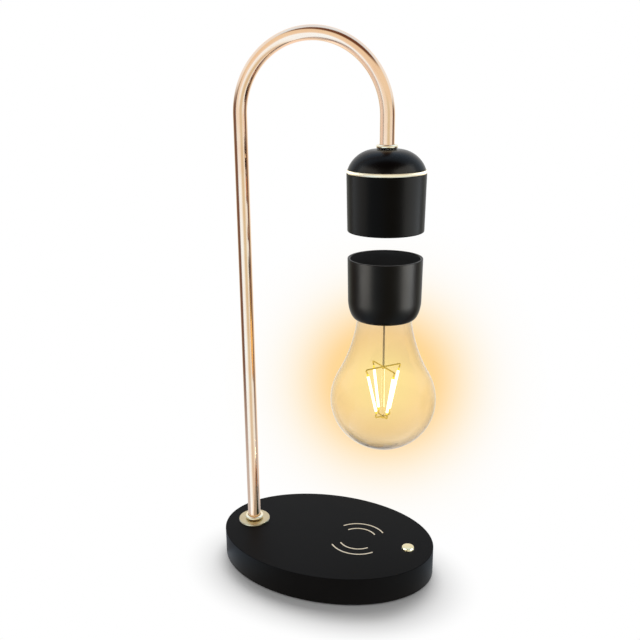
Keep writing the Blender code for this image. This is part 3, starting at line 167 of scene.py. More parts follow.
def vector_calc(tree, operation, first, second=(0, 0, 0), result="Vector"):
    """One sum with two vectors."""
    plugs = {0: first, 1: second}
    return add_node(tree, "ShaderNodeVectorMath", plugs, operation=operation).outputs[result]


def blend(tree, share, first, second, how="MIX"):
    """Mix two colours."""
    plugs = {0: share, 6: first, 7: second}
    return add_node(tree, "ShaderNodeMix", plugs, data_type="RGBA", blend_type=how).outputs[2]


def stretch(tree, value, start, end, first=0.0, last=1.0, kind="LINEAR"):
    """first up to start, last from end on, and a slope between them."""
    return add_node(
        tree, "ShaderNodeMapRange", interpolation_type=kind, Value=value, From_Min=start,
        From_Max=end, To_Min=first, To_Max=last,
    ).outputs["Result"]


def colour_ramp(tree, share, stops):
    """A ramp through (position, colour) stops."""
    node = add_node(tree, "ShaderNodeValToRGB", Fac=share)
    while len(node.color_ramp.elements) < len(stops):
        node.color_ramp.elements.new(0.5)
    for stop, (position, colour) in zip(node.color_ramp.elements, stops):
        stop.position = position
        stop.color = (*colour, 1)
    return node.outputs["Color"]


# %% [markdown]
# The grain group mixes two noises: a fine one for the height of the moulded texture, and a
# broad one that makes the gloss a little uneven, as fingerprints and flow marks do.

# %% Grain group
grain = new_group(
    "moulded_grain",
    {"Grain Scale": 1500.0, "Cloud Scale": 45.0, "Gloss Low": 0.35, "Gloss High": 0.45},
    ["Height", "Roughness", "Cloud"],
)
given = add_node(grain, "NodeGroupInput").outputs
place = object_place(grain)
fine, broad = (
    add_node(
        grain, "ShaderNodeTexNoise", Vector=place, Scale=given[scale], Detail=detail
    ).outputs["Fac"]
    for scale, detail in (("Grain Scale", 3.0), ("Cloud Scale", 4.0))
)
gloss = stretch(grain, broad, 0.3, 0.7, given["Gloss Low"], given["Gloss High"])
add_node(grain, "NodeGroupOutput", Height=fine, Roughness=gloss, Cloud=broad)
print("grain group:", len(grain.nodes), "nodes")

# %% [markdown]
# The rings group draws circles about an upright axis. With a spacing of a fraction of a
# millimetre they are the marks of a lathe, and with a wider one the turns of a coil.

# %% Rings group
rings = new_group(
    "turned_rings", {"Axis Place": (0.0, 0.0, 0.0), "Spacing Scale": 400.0, "Unevenness": 0.5},
    ["Height"],
)
given = add_node(rings, "NodeGroupInput").outputs
wave = add_node(
    rings, "ShaderNodeTexWave", wave_type="RINGS", rings_direction="Z", Detail=2.0,
    Vector=vector_calc(rings, "SUBTRACT", object_place(rings), given["Axis Place"]),
    Scale=given["Spacing Scale"], Distortion=given["Unevenness"],
)
add_node(rings, "NodeGroupOutput", Height=wave.outputs["Fac"])
print("rings group:", len(rings.nodes), "nodes")

# %% [markdown]
# ## Finishes
#
# Each finish is one Principled shader. Its plain numbers are set on the shader's own
# sockets, and what varies over the surface comes in from the groups. A pattern moves the
# colour gently between two close tones, so that no face is one flat colour, and it moves the
# gloss too. The height is the grain, or circles for turned and wound pieces. As nearly every
# finish is built this way, `textured` makes them all.

# %% Helpers for finishes
def new_finish(name, **settings):
    """A Principled material with its plain values set. Returns its tree and shader too."""
    finish = bpy.data.materials.new(name)
    finish.use_nodes = True
    tree = finish.node_tree
    shader = tree.nodes["Principled BSDF"]
    for title, value in settings.items():
        feed(tree, shader.inputs[title.replace("_", " ")], value)
    return finish, tree, shader


def use_group(tree, group, **settings):
    """Place a shader group in a material, with its own values."""
    return add_node(tree, "ShaderNodeGroup", node_tree=group, **settings)


def mixed_colour(tree, shader, mask, first, second):
    """Let a mask move the base colour between two tones."""
    tones = colour_ramp(tree, mask, ((0.3, first), (0.7, second)))
    feed(tree, shader.inputs["Base Color"], tones)
    return tones


def raise_surface(tree, shader, height, depth):
    """Turn a height pattern into bumps of a real depth in metres."""
    bump = add_node(tree, "ShaderNodeBump", Height=height, Strength=1.0, Distance=depth)
    feed(tree, shader.inputs["Normal"], bump.outputs["Normal"])


def textured(
    name, tones, gloss, depth, grain_scale=1500.0, cloud_scale=45.0, circles=None, striped=False,
    **settings,
):
    """A finish with two tones, a range of gloss, and a grain or circles of some depth."""
    finish, tree, shader = new_finish(name, **settings)
    texture = use_group(
        tree, grain, Grain_Scale=grain_scale, Cloud_Scale=cloud_scale, Gloss_Low=gloss[0],
        Gloss_High=gloss[1],
    )
    texture.name = "texture"
    pattern = use_group(tree, rings, **circles) if circles else texture
    feed(tree, shader.inputs["Roughness"], texture.outputs["Roughness"])
    mask = pattern.outputs["Height"] if striped else texture.outputs["Cloud"]
    mixed_colour(tree, shader, mask, *tones)
    raise_surface(tree, shader, pattern.outputs["Height"], depth)
    return finish


# %% [markdown]
# ### Black plastics
#
# The base, the head and the bulb's cap are the same black plastic with different gloss: the
# base is the dullest, so that a thing laid on it doesn't slip, and the cap has the most
# sheen, which shows as two soft upright lights on its sides. The disc in the cap's top and
# the plate under the base are rough. The gloss is tinted a little warm, as the studio's
# bright panels are bluish. One maker function keeps them a family.

# %% Black plastics
def black_plastic(name, tones, gloss, depth, specular, grain_scale=1500.0):
    """Moulded black plastic. tones are its two close blacks, gloss its roughness range."""
    return textured(
        name, tones, gloss, depth, grain_scale, Specular_IOR_Level=specular,
        Specular_Tint=(1.0, 0.82, 0.66),
    )


base_tones = ((0.0042, 0.0042, 0.0045), (0.0062, 0.0062, 0.0065))
head_tones = ((0.0014, 0.0014, 0.0016), (0.0020, 0.0020, 0.0023))
cap_tones = ((0.0014, 0.0014, 0.0015), (0.0020, 0.0020, 0.0021))
rough_tones = ((0.0055, 0.0055, 0.0057), (0.0085, 0.0085, 0.0087))
lid_tones = ((0.0030, 0.0030, 0.0031), (0.0050, 0.0050, 0.0051))
base_black = black_plastic("base_black", base_tones, (0.42, 0.50), 0.00002, 0.05)
head_black = black_plastic("head_black", head_tones, (0.30, 0.36), 0.000006, 0.062)
dome_black = black_plastic("dome_black", head_tones, (0.24, 0.30), 0.000004, 0.10)
cap_black = black_plastic("cap_black", cap_tones, (0.32, 0.38), 0.000006, 0.10)
rough_black = black_plastic("rough_black", rough_tones, (0.62, 0.72), 0.00012, 0.12, 900.0)
lid_black = black_plastic("lid_black", lid_tones, (0.62, 0.72), 0.00012, 0.01, 900.0)
blacks = (base_black, head_black, dome_black, cap_black, rough_black, lid_black)
print("black plastics:", [finish.name for finish in blacks])

# %% [markdown]
# ### Metals
#
# A metal's colour is the colour of its reflections. The tube is polished rose gold: almost a
# mirror, with only a breath of haze. The flange, ring, collars and button are a paler gold
# with lathe rings so fine that they only stretch the highlights. The wires in the bulb are
# lit by the filaments next to them, which a little Emission stands for.

# %% Polished and turned metals
def polished_metal(name, tones, gloss, depth=0.0000015, **settings):
    """A smooth metal whose gloss and colour drift slightly."""
    return textured(name, tones, gloss, depth, 120.0, 60.0, Metallic=1.0, **settings)


def turned_metal(name, tones, gloss, axis_place, ring_scale, depth, metal=1.0):
    """Metal turned on a lathe, with rings about an upright axis."""
    circles = {"Axis_Place": tuple(axis_place), "Spacing_Scale": ring_scale}
    return textured(name, tones, gloss, depth, cloud_scale=90.0, circles=circles, Metallic=metal)


def middle_of(node):
    """The middle of a solid's box."""
    low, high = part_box(node)
    return (low + high) / 2


post_middle, head_middle, button_middle, coil_middle = (
    middle_of(node) for node in ("foot_flange", "head_housing", "button_cap", "charging_coil")
)
rose_gold = polished_metal("rose_gold", ((0.95, 0.62, 0.41), (0.97, 0.69, 0.48)), (0.10, 0.15))
wire_gold = polished_metal(
    "wire_gold", ((0.74, 0.60, 0.16), (0.84, 0.72, 0.26)), (0.30, 0.40),
    Emission_Color=(1.0, 0.74, 0.16), Emission_Strength=0.22,
)
steel = polished_metal("steel", ((0.50, 0.51, 0.53), (0.58, 0.59, 0.61)), (0.30, 0.42), 0.000004)
nickel = polished_metal("magnet_nickel", ((0.64, 0.63, 0.60), (0.70, 0.69, 0.66)), (0.16, 0.24))
olive_gold = ((0.56, 0.46, 0.29), (0.63, 0.53, 0.34))
cream_gold = ((0.95, 0.82, 0.58), (0.97, 0.86, 0.64))
pale_gold = ((0.80, 0.68, 0.40), (0.85, 0.73, 0.46))
flange_gold = turned_metal("flange_gold", olive_gold, (0.20, 0.28), post_middle, 900.0, 0.000004)
ring_gold = turned_metal("ring_gold", cream_gold, (0.40, 0.48), head_middle, 900.0, 0.000003, 0.8)
collar_gold = turned_metal("collar_gold", cream_gold, (0.08, 0.12), head_middle, 900.0, 0.000001)
bead_gold = turned_metal("bead_gold", cream_gold, (0.08, 0.12), post_middle, 900.0, 0.000001)
button_gold = turned_metal("button_gold", pale_gold, (0.18, 0.26), button_middle, 700.0, 0.000006)
print("metals ready, post axis at", [round(part / MM, 1) for part in post_middle])

# %% [markdown]
# ### Glass
#
# The bulb's glass is clear and thin, with a faint tint that changes along its height: it is
# clearest in the middle, a little deeper towards the neck, and deepest at the bottom, where it
# is painted shade. A gradient along the height gives the tint. Transmission and roughness stay
# plain numbers, because glass that changes them over its face can't be carried to other
# programs. A dark specular tint stands for the coating that keeps the bulb's wall from
# mirroring the room. The wall is also painted darker where it is seen edge-on, most of all at
# the bottom. A little of that is the longer way through the glass, and the rest is painted
# shade that deepens the grey lines at its edge. A trace of warm glow at the height of the
# filaments stands for the light that the wall scatters.

# %% Clear glass
def clear_glass(name, tints, low_z, high_z, rim_shade=0.0, rim_shade_low=0.0, glow=0.0):
    """Clear glass with a tint that changes with height, and painted shade where it is seen edge-on.
    """
    finish, tree, shader = new_finish(
        name, Transmission_Weight=1.0, Roughness=0.0, IOR=1.45, Metallic=0.0,
        Specular_Tint=(0.4, 0.4, 0.4), Emission_Strength=glow,
    )
    height = add_node(tree, "ShaderNodeSeparateXYZ", Vector=object_place(tree)).outputs["Z"]
    share = stretch(tree, height, low_z, high_z)
    # Painted shade: the wall is darkened where it is seen edge-on, most of all at the bottom.
    facing = add_node(tree, "ShaderNodeLayerWeight", Blend=0.5).outputs["Facing"]
    deepest = stretch(tree, share, 0.0, 0.12, rim_shade_low, rim_shade)
    rim = stretch(tree, facing, 0.5, 1.0, 0.0, deepest)
    shaded = blend(tree, rim, colour_ramp(tree, share, tints), (0.16, 0.13, 0.11))
    feed(tree, shader.inputs["Base Color"], shaded)
    warm_stops = ((0.0, (0.3, 0.25, 0.12)), (0.42, (1.0, 0.85, 0.45)), (0.85, (0.0, 0.0, 0.0)))
    feed(tree, shader.inputs["Emission Color"], colour_ramp(tree, share, warm_stops))
    return finish


glass_low, glass_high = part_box("bulb_glass")
# The tint is darkest at the bottom of the bulb, which is painted shade.
bulb_tints = (
    (0.0, (0.86, 0.87, 0.87)), (0.18, (0.94, 0.94, 0.93)), (0.45, (0.99, 0.99, 0.98)),
    (1.0, (0.92, 0.92, 0.92)),
)
rod_tints = ((0.0, (0.97, 0.95, 0.90)), (1.0, (0.99, 0.97, 0.93)))
glass_span = (glass_low.z, glass_high.z)
bulb_clear = clear_glass("bulb_glass_finish", bulb_tints, *glass_span, 0.5, 1.6, 0.022)
rod_clear = clear_glass("rod_glass_finish", rod_tints, *glass_span)
print("glass from", round(glass_low.z / MM, 1), "to", round(glass_high.z / MM, 1), "mm")

# %% [markdown]
# ### Filament
#
# Each filament is a rod of tiny lamps under a yellow coating. It glows nearly white in the
# middle and a little darker at its two ends, where a short bare terminal sits. The terminals
# are no lamps, and their faint glow is painted light for the filament's light on them. The
# glow is Emission on the same shader, driven by a noise so that the coating looks beaded.
# Mirrors see it much fainter, or an orange streak would cross the lines in the tube.

# %% Glowing filament and its terminals
glow_finish = textured(
    "glow_finish", ((1.0, 0.80, 0.42), (1.0, 0.88, 0.55)), (0.4, 0.6), 0.00005, 900.0, 700.0,
    Emission_Strength=3.4,
)
tree = glow_finish.node_tree
beads = tree.nodes["texture"].outputs["Cloud"]
warmth = colour_ramp(tree, beads, ((0.3, (1.0, 0.74, 0.36)), (0.6, (1.0, 0.90, 0.66))))
mirrors_passed = add_node(tree, "ShaderNodeLightPath").outputs["Glossy Depth"]
seen_glow = blend(tree, mirrors_passed, warmth, (0.10, 0.07, 0.03))
feed(tree, tree.nodes["Principled BSDF"].inputs["Emission Color"], seen_glow)
# The bare terminals are no lamps: their faint Emission is painted light for the filament glow on
# them.
terminal_finish = textured(
    "terminal_finish", ((0.90, 0.55, 0.06), (0.96, 0.66, 0.10)), (0.25, 0.4), 0.00001,
    cloud_scale=400.0, Metallic=0.6, Emission_Color=(1.0, 0.72, 0.02), Emission_Strength=0.9,
)
print("filament finishes ready")

# %% [markdown]
# ### Rubber, copper, ferrite and boards
#
# These finishes are on pieces under and inside the lamp. They matter when it is turned over
# or taken apart. Copper coils show their turns through the rings group, and the circuit
# boards show a blocky pattern of tracks under their green lacquer.

# %% Finishes of the hidden pieces
def dull_finish(name, tones, gloss, depth):
    """A dull surface with a fine texture."""
    return textured(name, tones, gloss, depth, 1200.0, 150.0, Specular_IOR_Level=0.4)


def coil_finish(name, axis_place):
    """Copper wire wound about an upright axis."""
    turns = {"Axis_Place": tuple(axis_place), "Spacing_Scale": 260.0, "Unevenness": 0.1}
    return textured(
        name, ((0.42, 0.16, 0.06), (0.80, 0.40, 0.20)), (0.28, 0.45), 0.00015, cloud_scale=200.0,
        circles=turns, striped=True, Metallic=1.0,
    )


rubber = dull_finish("rubber", ((0.018, 0.018, 0.018), (0.030, 0.030, 0.030)), (0.8, 0.95), 0.00005)
ferrite = dull_finish("ferrite", ((0.05, 0.05, 0.055), (0.08, 0.08, 0.085)), (0.55, 0.75), 0.00004)
sheath_tones = ((0.62, 0.62, 0.60), (0.72, 0.72, 0.70))
cable_sheath = dull_finish("cable_sheath", sheath_tones, (0.5, 0.6), 0.00001)
base_copper = coil_finish("base_copper", coil_middle)
head_copper = coil_finish("head_copper", head_middle)

board_green, tree, shader = new_finish("board_green", Roughness=0.42)
tracks = add_node(
    tree, "ShaderNodeTexBrick", Vector=object_place(tree), Scale=450.0,
    Color1=(0.020, 0.130, 0.055), Color2=(0.028, 0.170, 0.070), Mortar=(0.045, 0.240, 0.100),
)
feed(tree, shader.inputs["Base Color"], tracks.outputs["Color"])
raise_surface(tree, shader, tracks.outputs["Fac"], 0.00002)
print("hidden finishes ready")

# %% [markdown]
# ## Modelling helpers
#
# Nearly every piece of this lamp is round, and a maker would turn it on a lathe. In Blender
# that is the Spin tool: draw half of the section as a line, then spin it about the axis.
# `turned_piece` does it as by hand. It adds a plane, merges it to one point, extrudes that
# point along the section, and spins the line a full turn. Where the spin closes on itself
# the doubled points are merged, and the normals are made to face outwards after that.

# %% Selecting and starting
def hands_off():
    """Back to object mode with nothing selected."""
    if bpy.context.mode != "OBJECT":
        bpy.ops.object.mode_set(mode="OBJECT")
    bpy.ops.object.select_all(action="DESELECT")


def hold(piece):
    """Select one piece alone and make it active."""
    hands_off()
    piece.select_set(True)
    bpy.context.view_layer.objects.active = piece


def start(name, add_primitive, **settings):
    """Add a primitive at its size and place, as the start of a new piece."""
    hands_off()
    add_primitive(**settings)
    bpy.context.object.name = name
    return bpy.context.object


def shape_all():
    """Go to edit mode with everything selected."""
    bpy.ops.object.mode_set(mode="EDIT")
    bpy.ops.mesh.select_all(action="SELECT")


def pick(kind, wanted):
    """In edit mode, select the vertices, edges or faces that `wanted` accepts."""
    bpy.ops.mesh.select_mode(type=kind)
    bpy.ops.mesh.select_all(action="DESELECT")
    mesh = bpy.context.object.data
    shape = bmesh.from_edit_mesh(mesh)
    shape.normal_update()
    parts = {"VERT": shape.verts, "EDGE": shape.edges, "FACE": shape.faces}[kind]
    chosen = [part for part in parts if wanted(part)]
    for part in chosen:
        part.select_set(True)
    shape.select_flush_mode()
    bmesh.update_edit_mesh(mesh)
    return len(chosen)


def pull(move):
    """Extrude what is selected and move it."""
    bpy.ops.mesh.extrude_region_move(TRANSFORM_OT_translate={"value": move})


def face_outwards():
    """Turn all faces of the mesh outwards."""
    bpy.ops.mesh.select_all(action="SELECT")
    bpy.ops.mesh.normals_make_consistent(inside=False)


def close_up():
    """Merge doubled points, turn the faces outwards and leave edit mode."""
    bpy.ops.mesh.select_all(action="SELECT")
    bpy.ops.mesh.remove_doubles(threshold=MM / 500)
    face_outwards()
    hands_off()


# %% [markdown]
# The lathe itself comes next, and what follows it on a real workbench: breaking the sharp
# edges, and polishing. Edges are found by the angle at which their faces meet. Smooth shading
# stops at crisp edges, and weighted normals keep the large flat faces flat.

# %% Turning, rounding and smoothing
def turned_piece(name, section, axis_place, steps, closed=False):
    """Spin a section of (radius, height) points about an upright axis."""
    piece = start(name, bpy.ops.mesh.primitive_plane_add, size=MM, location=(0, 0, 0))
    bpy.ops.object.mode_set(mode="EDIT")
    bpy.ops.mesh.select_mode(type="VERT")
    bpy.ops.mesh.select_all(action="SELECT")
    bpy.ops.mesh.merge(type="CENTER")
    points = [Vector((axis_place.x + radius, axis_place.y, height)) for radius, height in section]
    bpy.ops.transform.translate(value=points[0])
    for last, point in zip(points, points[1:]):
        pull(point - last)
    if closed:
        ends = (points[0], points[-1])
        pick("VERT", lambda vert: any((vert.co - end).length < MM / 1000 for end in ends))
        bpy.ops.mesh.edge_face_add()
    bpy.ops.mesh.select_all(action="SELECT")
    bpy.ops.mesh.spin(
        steps=steps, angle=math.tau, center=(axis_place.x, axis_place.y, 0), axis=(0, 0, 1)
    )
    close_up()
    return piece


def apply_modifier(piece, kind, **settings):
    """Add a modifier with its settings and apply it."""
    hold(piece)
    step = piece.modifiers.new(kind.lower(), kind)
    for name, value in settings.items():
        setattr(step, name, value)
    bpy.ops.object.modifier_apply(modifier=step.name)


def round_edges(piece, width, segments=3, above=35):
    """Round every edge that turns by more than an angle in degrees."""
    apply_modifier(
        piece, "BEVEL", width=width, segments=segments, limit_method="ANGLE",
        angle_limit=math.radians(above), harden_normals=False,
    )


def smooth(piece, angle=32):
    """Shade round faces smooth, keep crisp edges, and let large faces stay flat."""
    hold(piece)
    bpy.ops.object.shade_smooth_by_angle(angle=math.radians(angle))
    apply_modifier(piece, "WEIGHTED_NORMAL", keep_sharp=True)


def arc_points(centre, radius, start, end, steps):
    """Points of an arc in a section. Angles are in degrees above the horizontal."""
    angles = [math.radians(start + (end - start) * index / steps) for index in range(steps + 1)]
    return [
        (centre[0] + radius * math.cos(angle), centre[1] + radius * math.sin(angle))
        for angle in angles
    ]


# %% [markdown]
# A finished piece is handed over in one step: its place is applied into its mesh, it gets
# its finish, it is told which moving body it rides on, and it hides the plain solid that it
# stands for.

# %% Handing a piece over
def hand_over(piece, finish, body, slot, *solids):
    """Give a piece its finish and its place in the lamp."""
    hold(piece)
    bpy.ops.object.transform_apply(location=True, rotation=True, scale=True)
    piece.data.materials.clear()
    piece.data.materials.append(finish)
    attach(piece, body)
    if solids:
        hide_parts(*solids)
    sides = [round(side / MM, 1) for side in piece.dimensions]
    print(f"{piece.name}: {len(piece.data.polygons)} faces, {sides} mm")
    return piece


def finish_off(piece, angle, finish, body, slot, *solids, edge=()):
    """Round a piece's edges if `edge` gives a width, smooth it and hand it over."""
    if edge:
        round_edges(piece, *edge)
    smooth(piece, angle)
    return hand_over(piece, finish, body, slot, *solids)


def cut(piece, cutter, operation="DIFFERENCE"):
    """Cut a cutter's shape out of a piece, or join it, and throw the cutter away."""
    apply_modifier(piece, "BOOLEAN", operation=operation, solver="EXACT", object=cutter)
    bpy.data.objects.remove(cutter, do_unlink=True)


def drill(piece, centre, radius, depth, rotation=(0, 0, 0), sides=96):
    """Drill a round hole through a piece."""
    cut(piece, start(
        "drill", bpy.ops.mesh.primitive_cylinder_add, vertices=sides, radius=radius, depth=depth,
        location=centre, rotation=rotation,
    ))


# %% [markdown]
# ## The base
#
# The base is an upside-down tray of black plastic: flat on top, upright at its sides, with a
# crisp upper edge that catches a thin line of light. It could be a stretched cylinder with a
# Solidify modifier, but then the wall is thinner where the oval is narrow. An inset on the
# bottom face keeps the wall even, and extruding that inset upwards makes the hollow.

# %% Base shell
def oval_slab(name, low, high):
    """An upright oval slab that fills a box. It stays in edit mode."""
    middle = (low + high) / 2
    slab = start(
        name, bpy.ops.mesh.primitive_cylinder_add, vertices=256, radius=high.x,
        depth=high.z - low.z, location=middle,
    )
    bpy.ops.object.mode_set(mode="EDIT")
    bpy.ops.transform.resize(value=(1, high.y / high.x, 1), center_override=middle)
    return slab


base_low, base_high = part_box("base_shell")
plate_low, plate_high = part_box("base_plate")
SEAT_GAP = 0.3 * MM
base_wall = plate_low.x - base_low.x - SEAT_GAP
ceiling_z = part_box("charging_coil")[1].z + SEAT_GAP
base_shell = oval_slab("base_shell_fine", base_low, base_high)
half_height = (base_high.z - base_low.z) / 2
pick("FACE", lambda face: face.normal.z < -0.9)
bpy.ops.mesh.inset(thickness=base_wall)
pull((0, 0, ceiling_z - base_low.z))
pick("EDGE", lambda edge: all(vert.co.z > half_height - MM / 100 for vert in edge.verts))
bpy.ops.mesh.bevel(offset=0.5 * MM, segments=4, affect="EDGES", profile=0.6)
hands_off()
print("base wall", round(base_wall / MM, 2), "mm, ceiling at", round(ceiling_z / MM, 2), "mm")

# %% [markdown]
# Three round holes go through the shell: one under the tube for its threaded nipple, one
# for the button, and one in the rear wall for the power socket. A fine chamfer breaks the
# edge of the button's hole, as a mould would.

# %% Holes in the shell
def half_width(node):
    """Half the width of a solid's box, which is the radius of a round one."""
    low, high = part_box(node)
    return (high.x - low.x) / 2


jack_low, jack_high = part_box("power_jack")
jack_z = (jack_low.z + jack_high.z) / 2
nipple_hole = half_width("post_nipple") + SEAT_GAP
BUTTON_HOLE = 5.0 * MM
JACK_HOLE = 4.1 * MM
for spot, hole in ((post_middle, nipple_hole), (button_middle, BUTTON_HOLE)):
    drill(base_shell, (spot.x, spot.y, base_high.z), hole, 4 * base_wall)
drill(base_shell, (0, base_high.y, jack_z), JACK_HOLE, 4 * base_wall, (math.pi / 2, 0, 0), 64)


def at_button_rim(edge):
    """Whether an edge lies on the upper rim of the button's hole."""
    for vert in edge.verts:
        spot = base_shell.matrix_world @ vert.co
        off = math.hypot(spot.x - button_middle.x, spot.y - button_middle.y)
        if abs(spot.z - base_high.z) > MM / 100 or off > BUTTON_HOLE + MM / 100:
            return False
    return True


hold(base_shell)
bpy.ops.object.mode_set(mode="EDIT")
rim_edges = pick("EDGE", at_button_rim)
bpy.ops.mesh.bevel(offset=0.15 * MM, segments=2, affect="EDGES")
smooth(base_shell)
hand_over(base_shell, base_black, "stand", "satin_black", "base_shell")
base_shell.visible_glossy = False
print(rim_edges, "rim edges chamfered")

# %% [markdown]
# The plate closes the tray from below. It only shows when the lamp is turned over, and it
# is a flat oval with four pockets for the feet and four seats for the screws, so it is cut
# the way a mill would cut it.

# %% Bottom plate
foot_places = [middle_of(f"foot_{index}") for index in (1, 2, 3, 4)]
screw_places = [middle_of(f"base_screw_{index}") for index in (1, 2, 3, 4)]
foot_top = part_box("foot_1")[1].z
foot_radius = half_width("foot_1")
screw_radius = half_width("base_screw_1")
pocket_depth = foot_top + SEAT_GAP - plate_low.z
SCREW_SEAT_DEPTH = 1.2 * MM
SCREW_HOLE = 1.7 * MM
THROUGH_PLATE = 6 * MM

base_plate = oval_slab("base_plate_fine", plate_low, plate_high)
hands_off()
for spot in foot_places:
    drill(base_plate, (spot.x, spot.y, plate_low.z), foot_radius + SEAT_GAP, 2 * pocket_depth)
for spot in screw_places:
    drill(base_plate, (spot.x, spot.y, plate_low.z), screw_radius + SEAT_GAP, 2 * SCREW_SEAT_DEPTH)
    drill(base_plate, (spot.x, spot.y, plate_low.z), SCREW_HOLE, THROUGH_PLATE, sides=48)
finish_off(
    base_plate, 32, rough_black, "stand", "matte_black", "base_plate", edge=(0.12 * MM, 2)
)

# %% [markdown]
# Feet and screws are each modelled once and copied. A foot is a low rubber puck with a
# rounded rim. A screw is a flat head with a six-sided socket, and its shank is hidden.

# %% Feet and screws
foot_section = [(0, foot_top), (foot_radius, foot_top), (foot_radius, 0), (0, 0)]
foot = turned_piece("foot_fine_1", foot_section, foot_places[0], 64)
round_edges(foot, 0.3 * MM)
smooth(foot)
SHANK_RADIUS = 1.4 * MM
SOCKET_RADIUS, SOCKET_DEPTH = 1.2 * MM, 1.0 * MM
screw_low, screw_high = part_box("base_screw_1")
head_top = screw_low.z + 0.9 * MM
screw_section = [
    (0, screw_high.z), (SHANK_RADIUS, screw_high.z), (SHANK_RADIUS, head_top),
    (screw_radius, head_top), (screw_radius, screw_low.z), (0, screw_low.z),
]
screw = turned_piece("screw_fine_1", screw_section, screw_places[0], 48)
round_edges(screw, 0.12 * MM, 2)
socket_place = (screw_places[0].x, screw_places[0].y, screw_low.z)
drill(screw, socket_place, SOCKET_RADIUS, SOCKET_DEPTH, sides=6)
smooth(screw)


def copy_to(piece, name, move):
    """A copy with its own mesh, moved away."""
    hold(piece)
    bpy.ops.object.duplicate(linked=False)
    bpy.context.object.name = name
    bpy.ops.transform.translate(value=move)
    return bpy.context.object


for index in (2, 3, 4, 1):
    foot_move = foot_places[index - 1] - foot_places[0]
    screw_move = screw_places[index - 1] - screw_places[0]
    next_foot = copy_to(foot, f"foot_fine_{index}", foot_move) if index > 1 else foot
    hand_over(next_foot, rubber, "stand", "rubber", f"foot_{index}")
    next_screw = copy_to(screw, f"screw_fine_{index}", screw_move) if index > 1 else screw
    hand_over(next_screw, steel, "stand", "steel", f"base_screw_{index}")

# %% [markdown]
# ## The power socket
#
# In the rear wall sits a small round socket: a black nose with a bore and a steel pin. The
# nose is turned lying on its side, so the section is spun upright first and then laid back.

# %% Power socket
JACK_NOSE = 3.8 * MM
JACK_BORE = 2.9 * MM
JACK_PIN = 0.9 * MM
JACK_BODY = 4.2 * MM
face_y = jack_high.y
bore_y = face_y - 9.5 * MM
body_front = base_high.y - base_wall - SEAT_GAP
nose_section = [
    (0, bore_y), (JACK_BORE, bore_y), (JACK_BORE, face_y), (JACK_NOSE, face_y),
    (JACK_NOSE, body_front), (JACK_BODY, body_front), (JACK_BODY, jack_low.y), (0, jack_low.y),
]
pin_section = [
    (0, face_y - MM), (JACK_PIN * 0.7, face_y - MM), (JACK_PIN, face_y - 1.4 * MM),
    (JACK_PIN, bore_y + MM / 50), (0, bore_y + MM / 50),
]


def lay_back(name, section, steps):
    """Turn a section upright and lay it on its side, pointing to the rear."""
    piece = turned_piece(name, section, Vector((0, 0, 0)), steps)
    piece.rotation_euler = (-math.pi / 2, 0, 0)
    piece.location = (0, 0, jack_z)
    return piece


socket = lay_back("power_socket_fine", nose_section, 64)
finish_off(socket, 30, rough_black, "stand", "matte_black", "power_jack", edge=(0.18 * MM, 2))
finish_off(lay_back("power_pin_fine", pin_section, 32), 30, steel, "stand", "steel")

# %% [markdown]
# ## The button
#
# The button is turned brass, pale and polished: a low crowned top with a bright rounded
# shoulder, standing in a dark ring gap. It rides on its own body, because it can be pushed.

# %% Button
button_low, button_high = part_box("button_cap")
skirt_radius = half_width("button_cap")
BUTTON_RADIUS = 4.6 * MM
SHOULDER_ROUND = 0.62 * MM
CROWN_POWER = 2.2
skirt_top = button_low.z + 1.2 * MM
side_z = base_high.z + 0.5 * MM
shoulder = arc_points((BUTTON_RADIUS - SHOULDER_ROUND, side_z), SHOULDER_ROUND, 0, 66, 8)
crown_rise = button_high.z - shoulder[-1][1]
crown = [
    (BUTTON_RADIUS * share, button_high.z - crown_rise * share ** CROWN_POWER)
    for share in (0, 0.12, 0.25, 0.38, 0.5, 0.62, 0.73, 0.82)
]
button_section = crown + list(reversed(shoulder)) + [
    (BUTTON_RADIUS, skirt_top), (skirt_radius, skirt_top), (skirt_radius, button_low.z),
    (0, button_low.z),
]
button = turned_piece("button_fine", button_section, button_middle, 96)
finish_off(button, 40, button_gold, "button", "pale_gold", "button_cap")

# %% [markdown]
# ## Post fittings
#
# A thin polished flange covers the hole in the base, and on it sits a bright bead that hides
# the cut end of the tube. A second bead of the same make sits on the head. The bead's
# section is a rectangle whose outer corners are rounded into each other.

# %% Flange and collars
def gold_bead(solid, axis_place, hole_radius):
    """A rounded collar about the tube."""
    low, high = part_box(solid)
    corner = 1.3 * MM
    inner = half_width(solid) - corner
    upper = arc_points((inner, high.z - corner), corner, 90, 0, 10)
    lower = arc_points((inner, low.z + corner), corner, 0, -90, 10)
    section = [(hole_radius, low.z), (hole_radius, high.z)] + upper + lower
    return turned_piece(f"{solid}_fine", section, axis_place, 96, closed=True)


TUBE_RADIUS = 5.0 * MM
bead_hole = TUBE_RADIUS + SEAT_GAP
foot_collar = gold_bead("foot_collar", post_middle, bead_hole)
finish_off(foot_collar, 40, bead_gold, "stand", "pale_gold", "foot_collar")
head_collar = gold_bead("head_collar", head_middle, bead_hole)
finish_off(head_collar, 40, collar_gold, "stand", "pale_gold", "head_collar")

flange_low, flange_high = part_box("foot_flange")
flange_radius = half_width("foot_flange")
FLANGE_ROUND = 0.4 * MM
flange_section = [(nipple_hole, flange_low.z), (nipple_hole, flange_high.z)]
edge_middle = (flange_radius - FLANGE_ROUND, flange_high.z - FLANGE_ROUND)
flange_section += arc_points(edge_middle, FLANGE_ROUND, 90, 0, 6)
flange_section += [(flange_radius, flange_low.z)]
flange = turned_piece("foot_flange_fine", flange_section, post_middle, 128, closed=True)
finish_off(flange, 40, flange_gold, "stand", "pale_gold", "foot_flange")

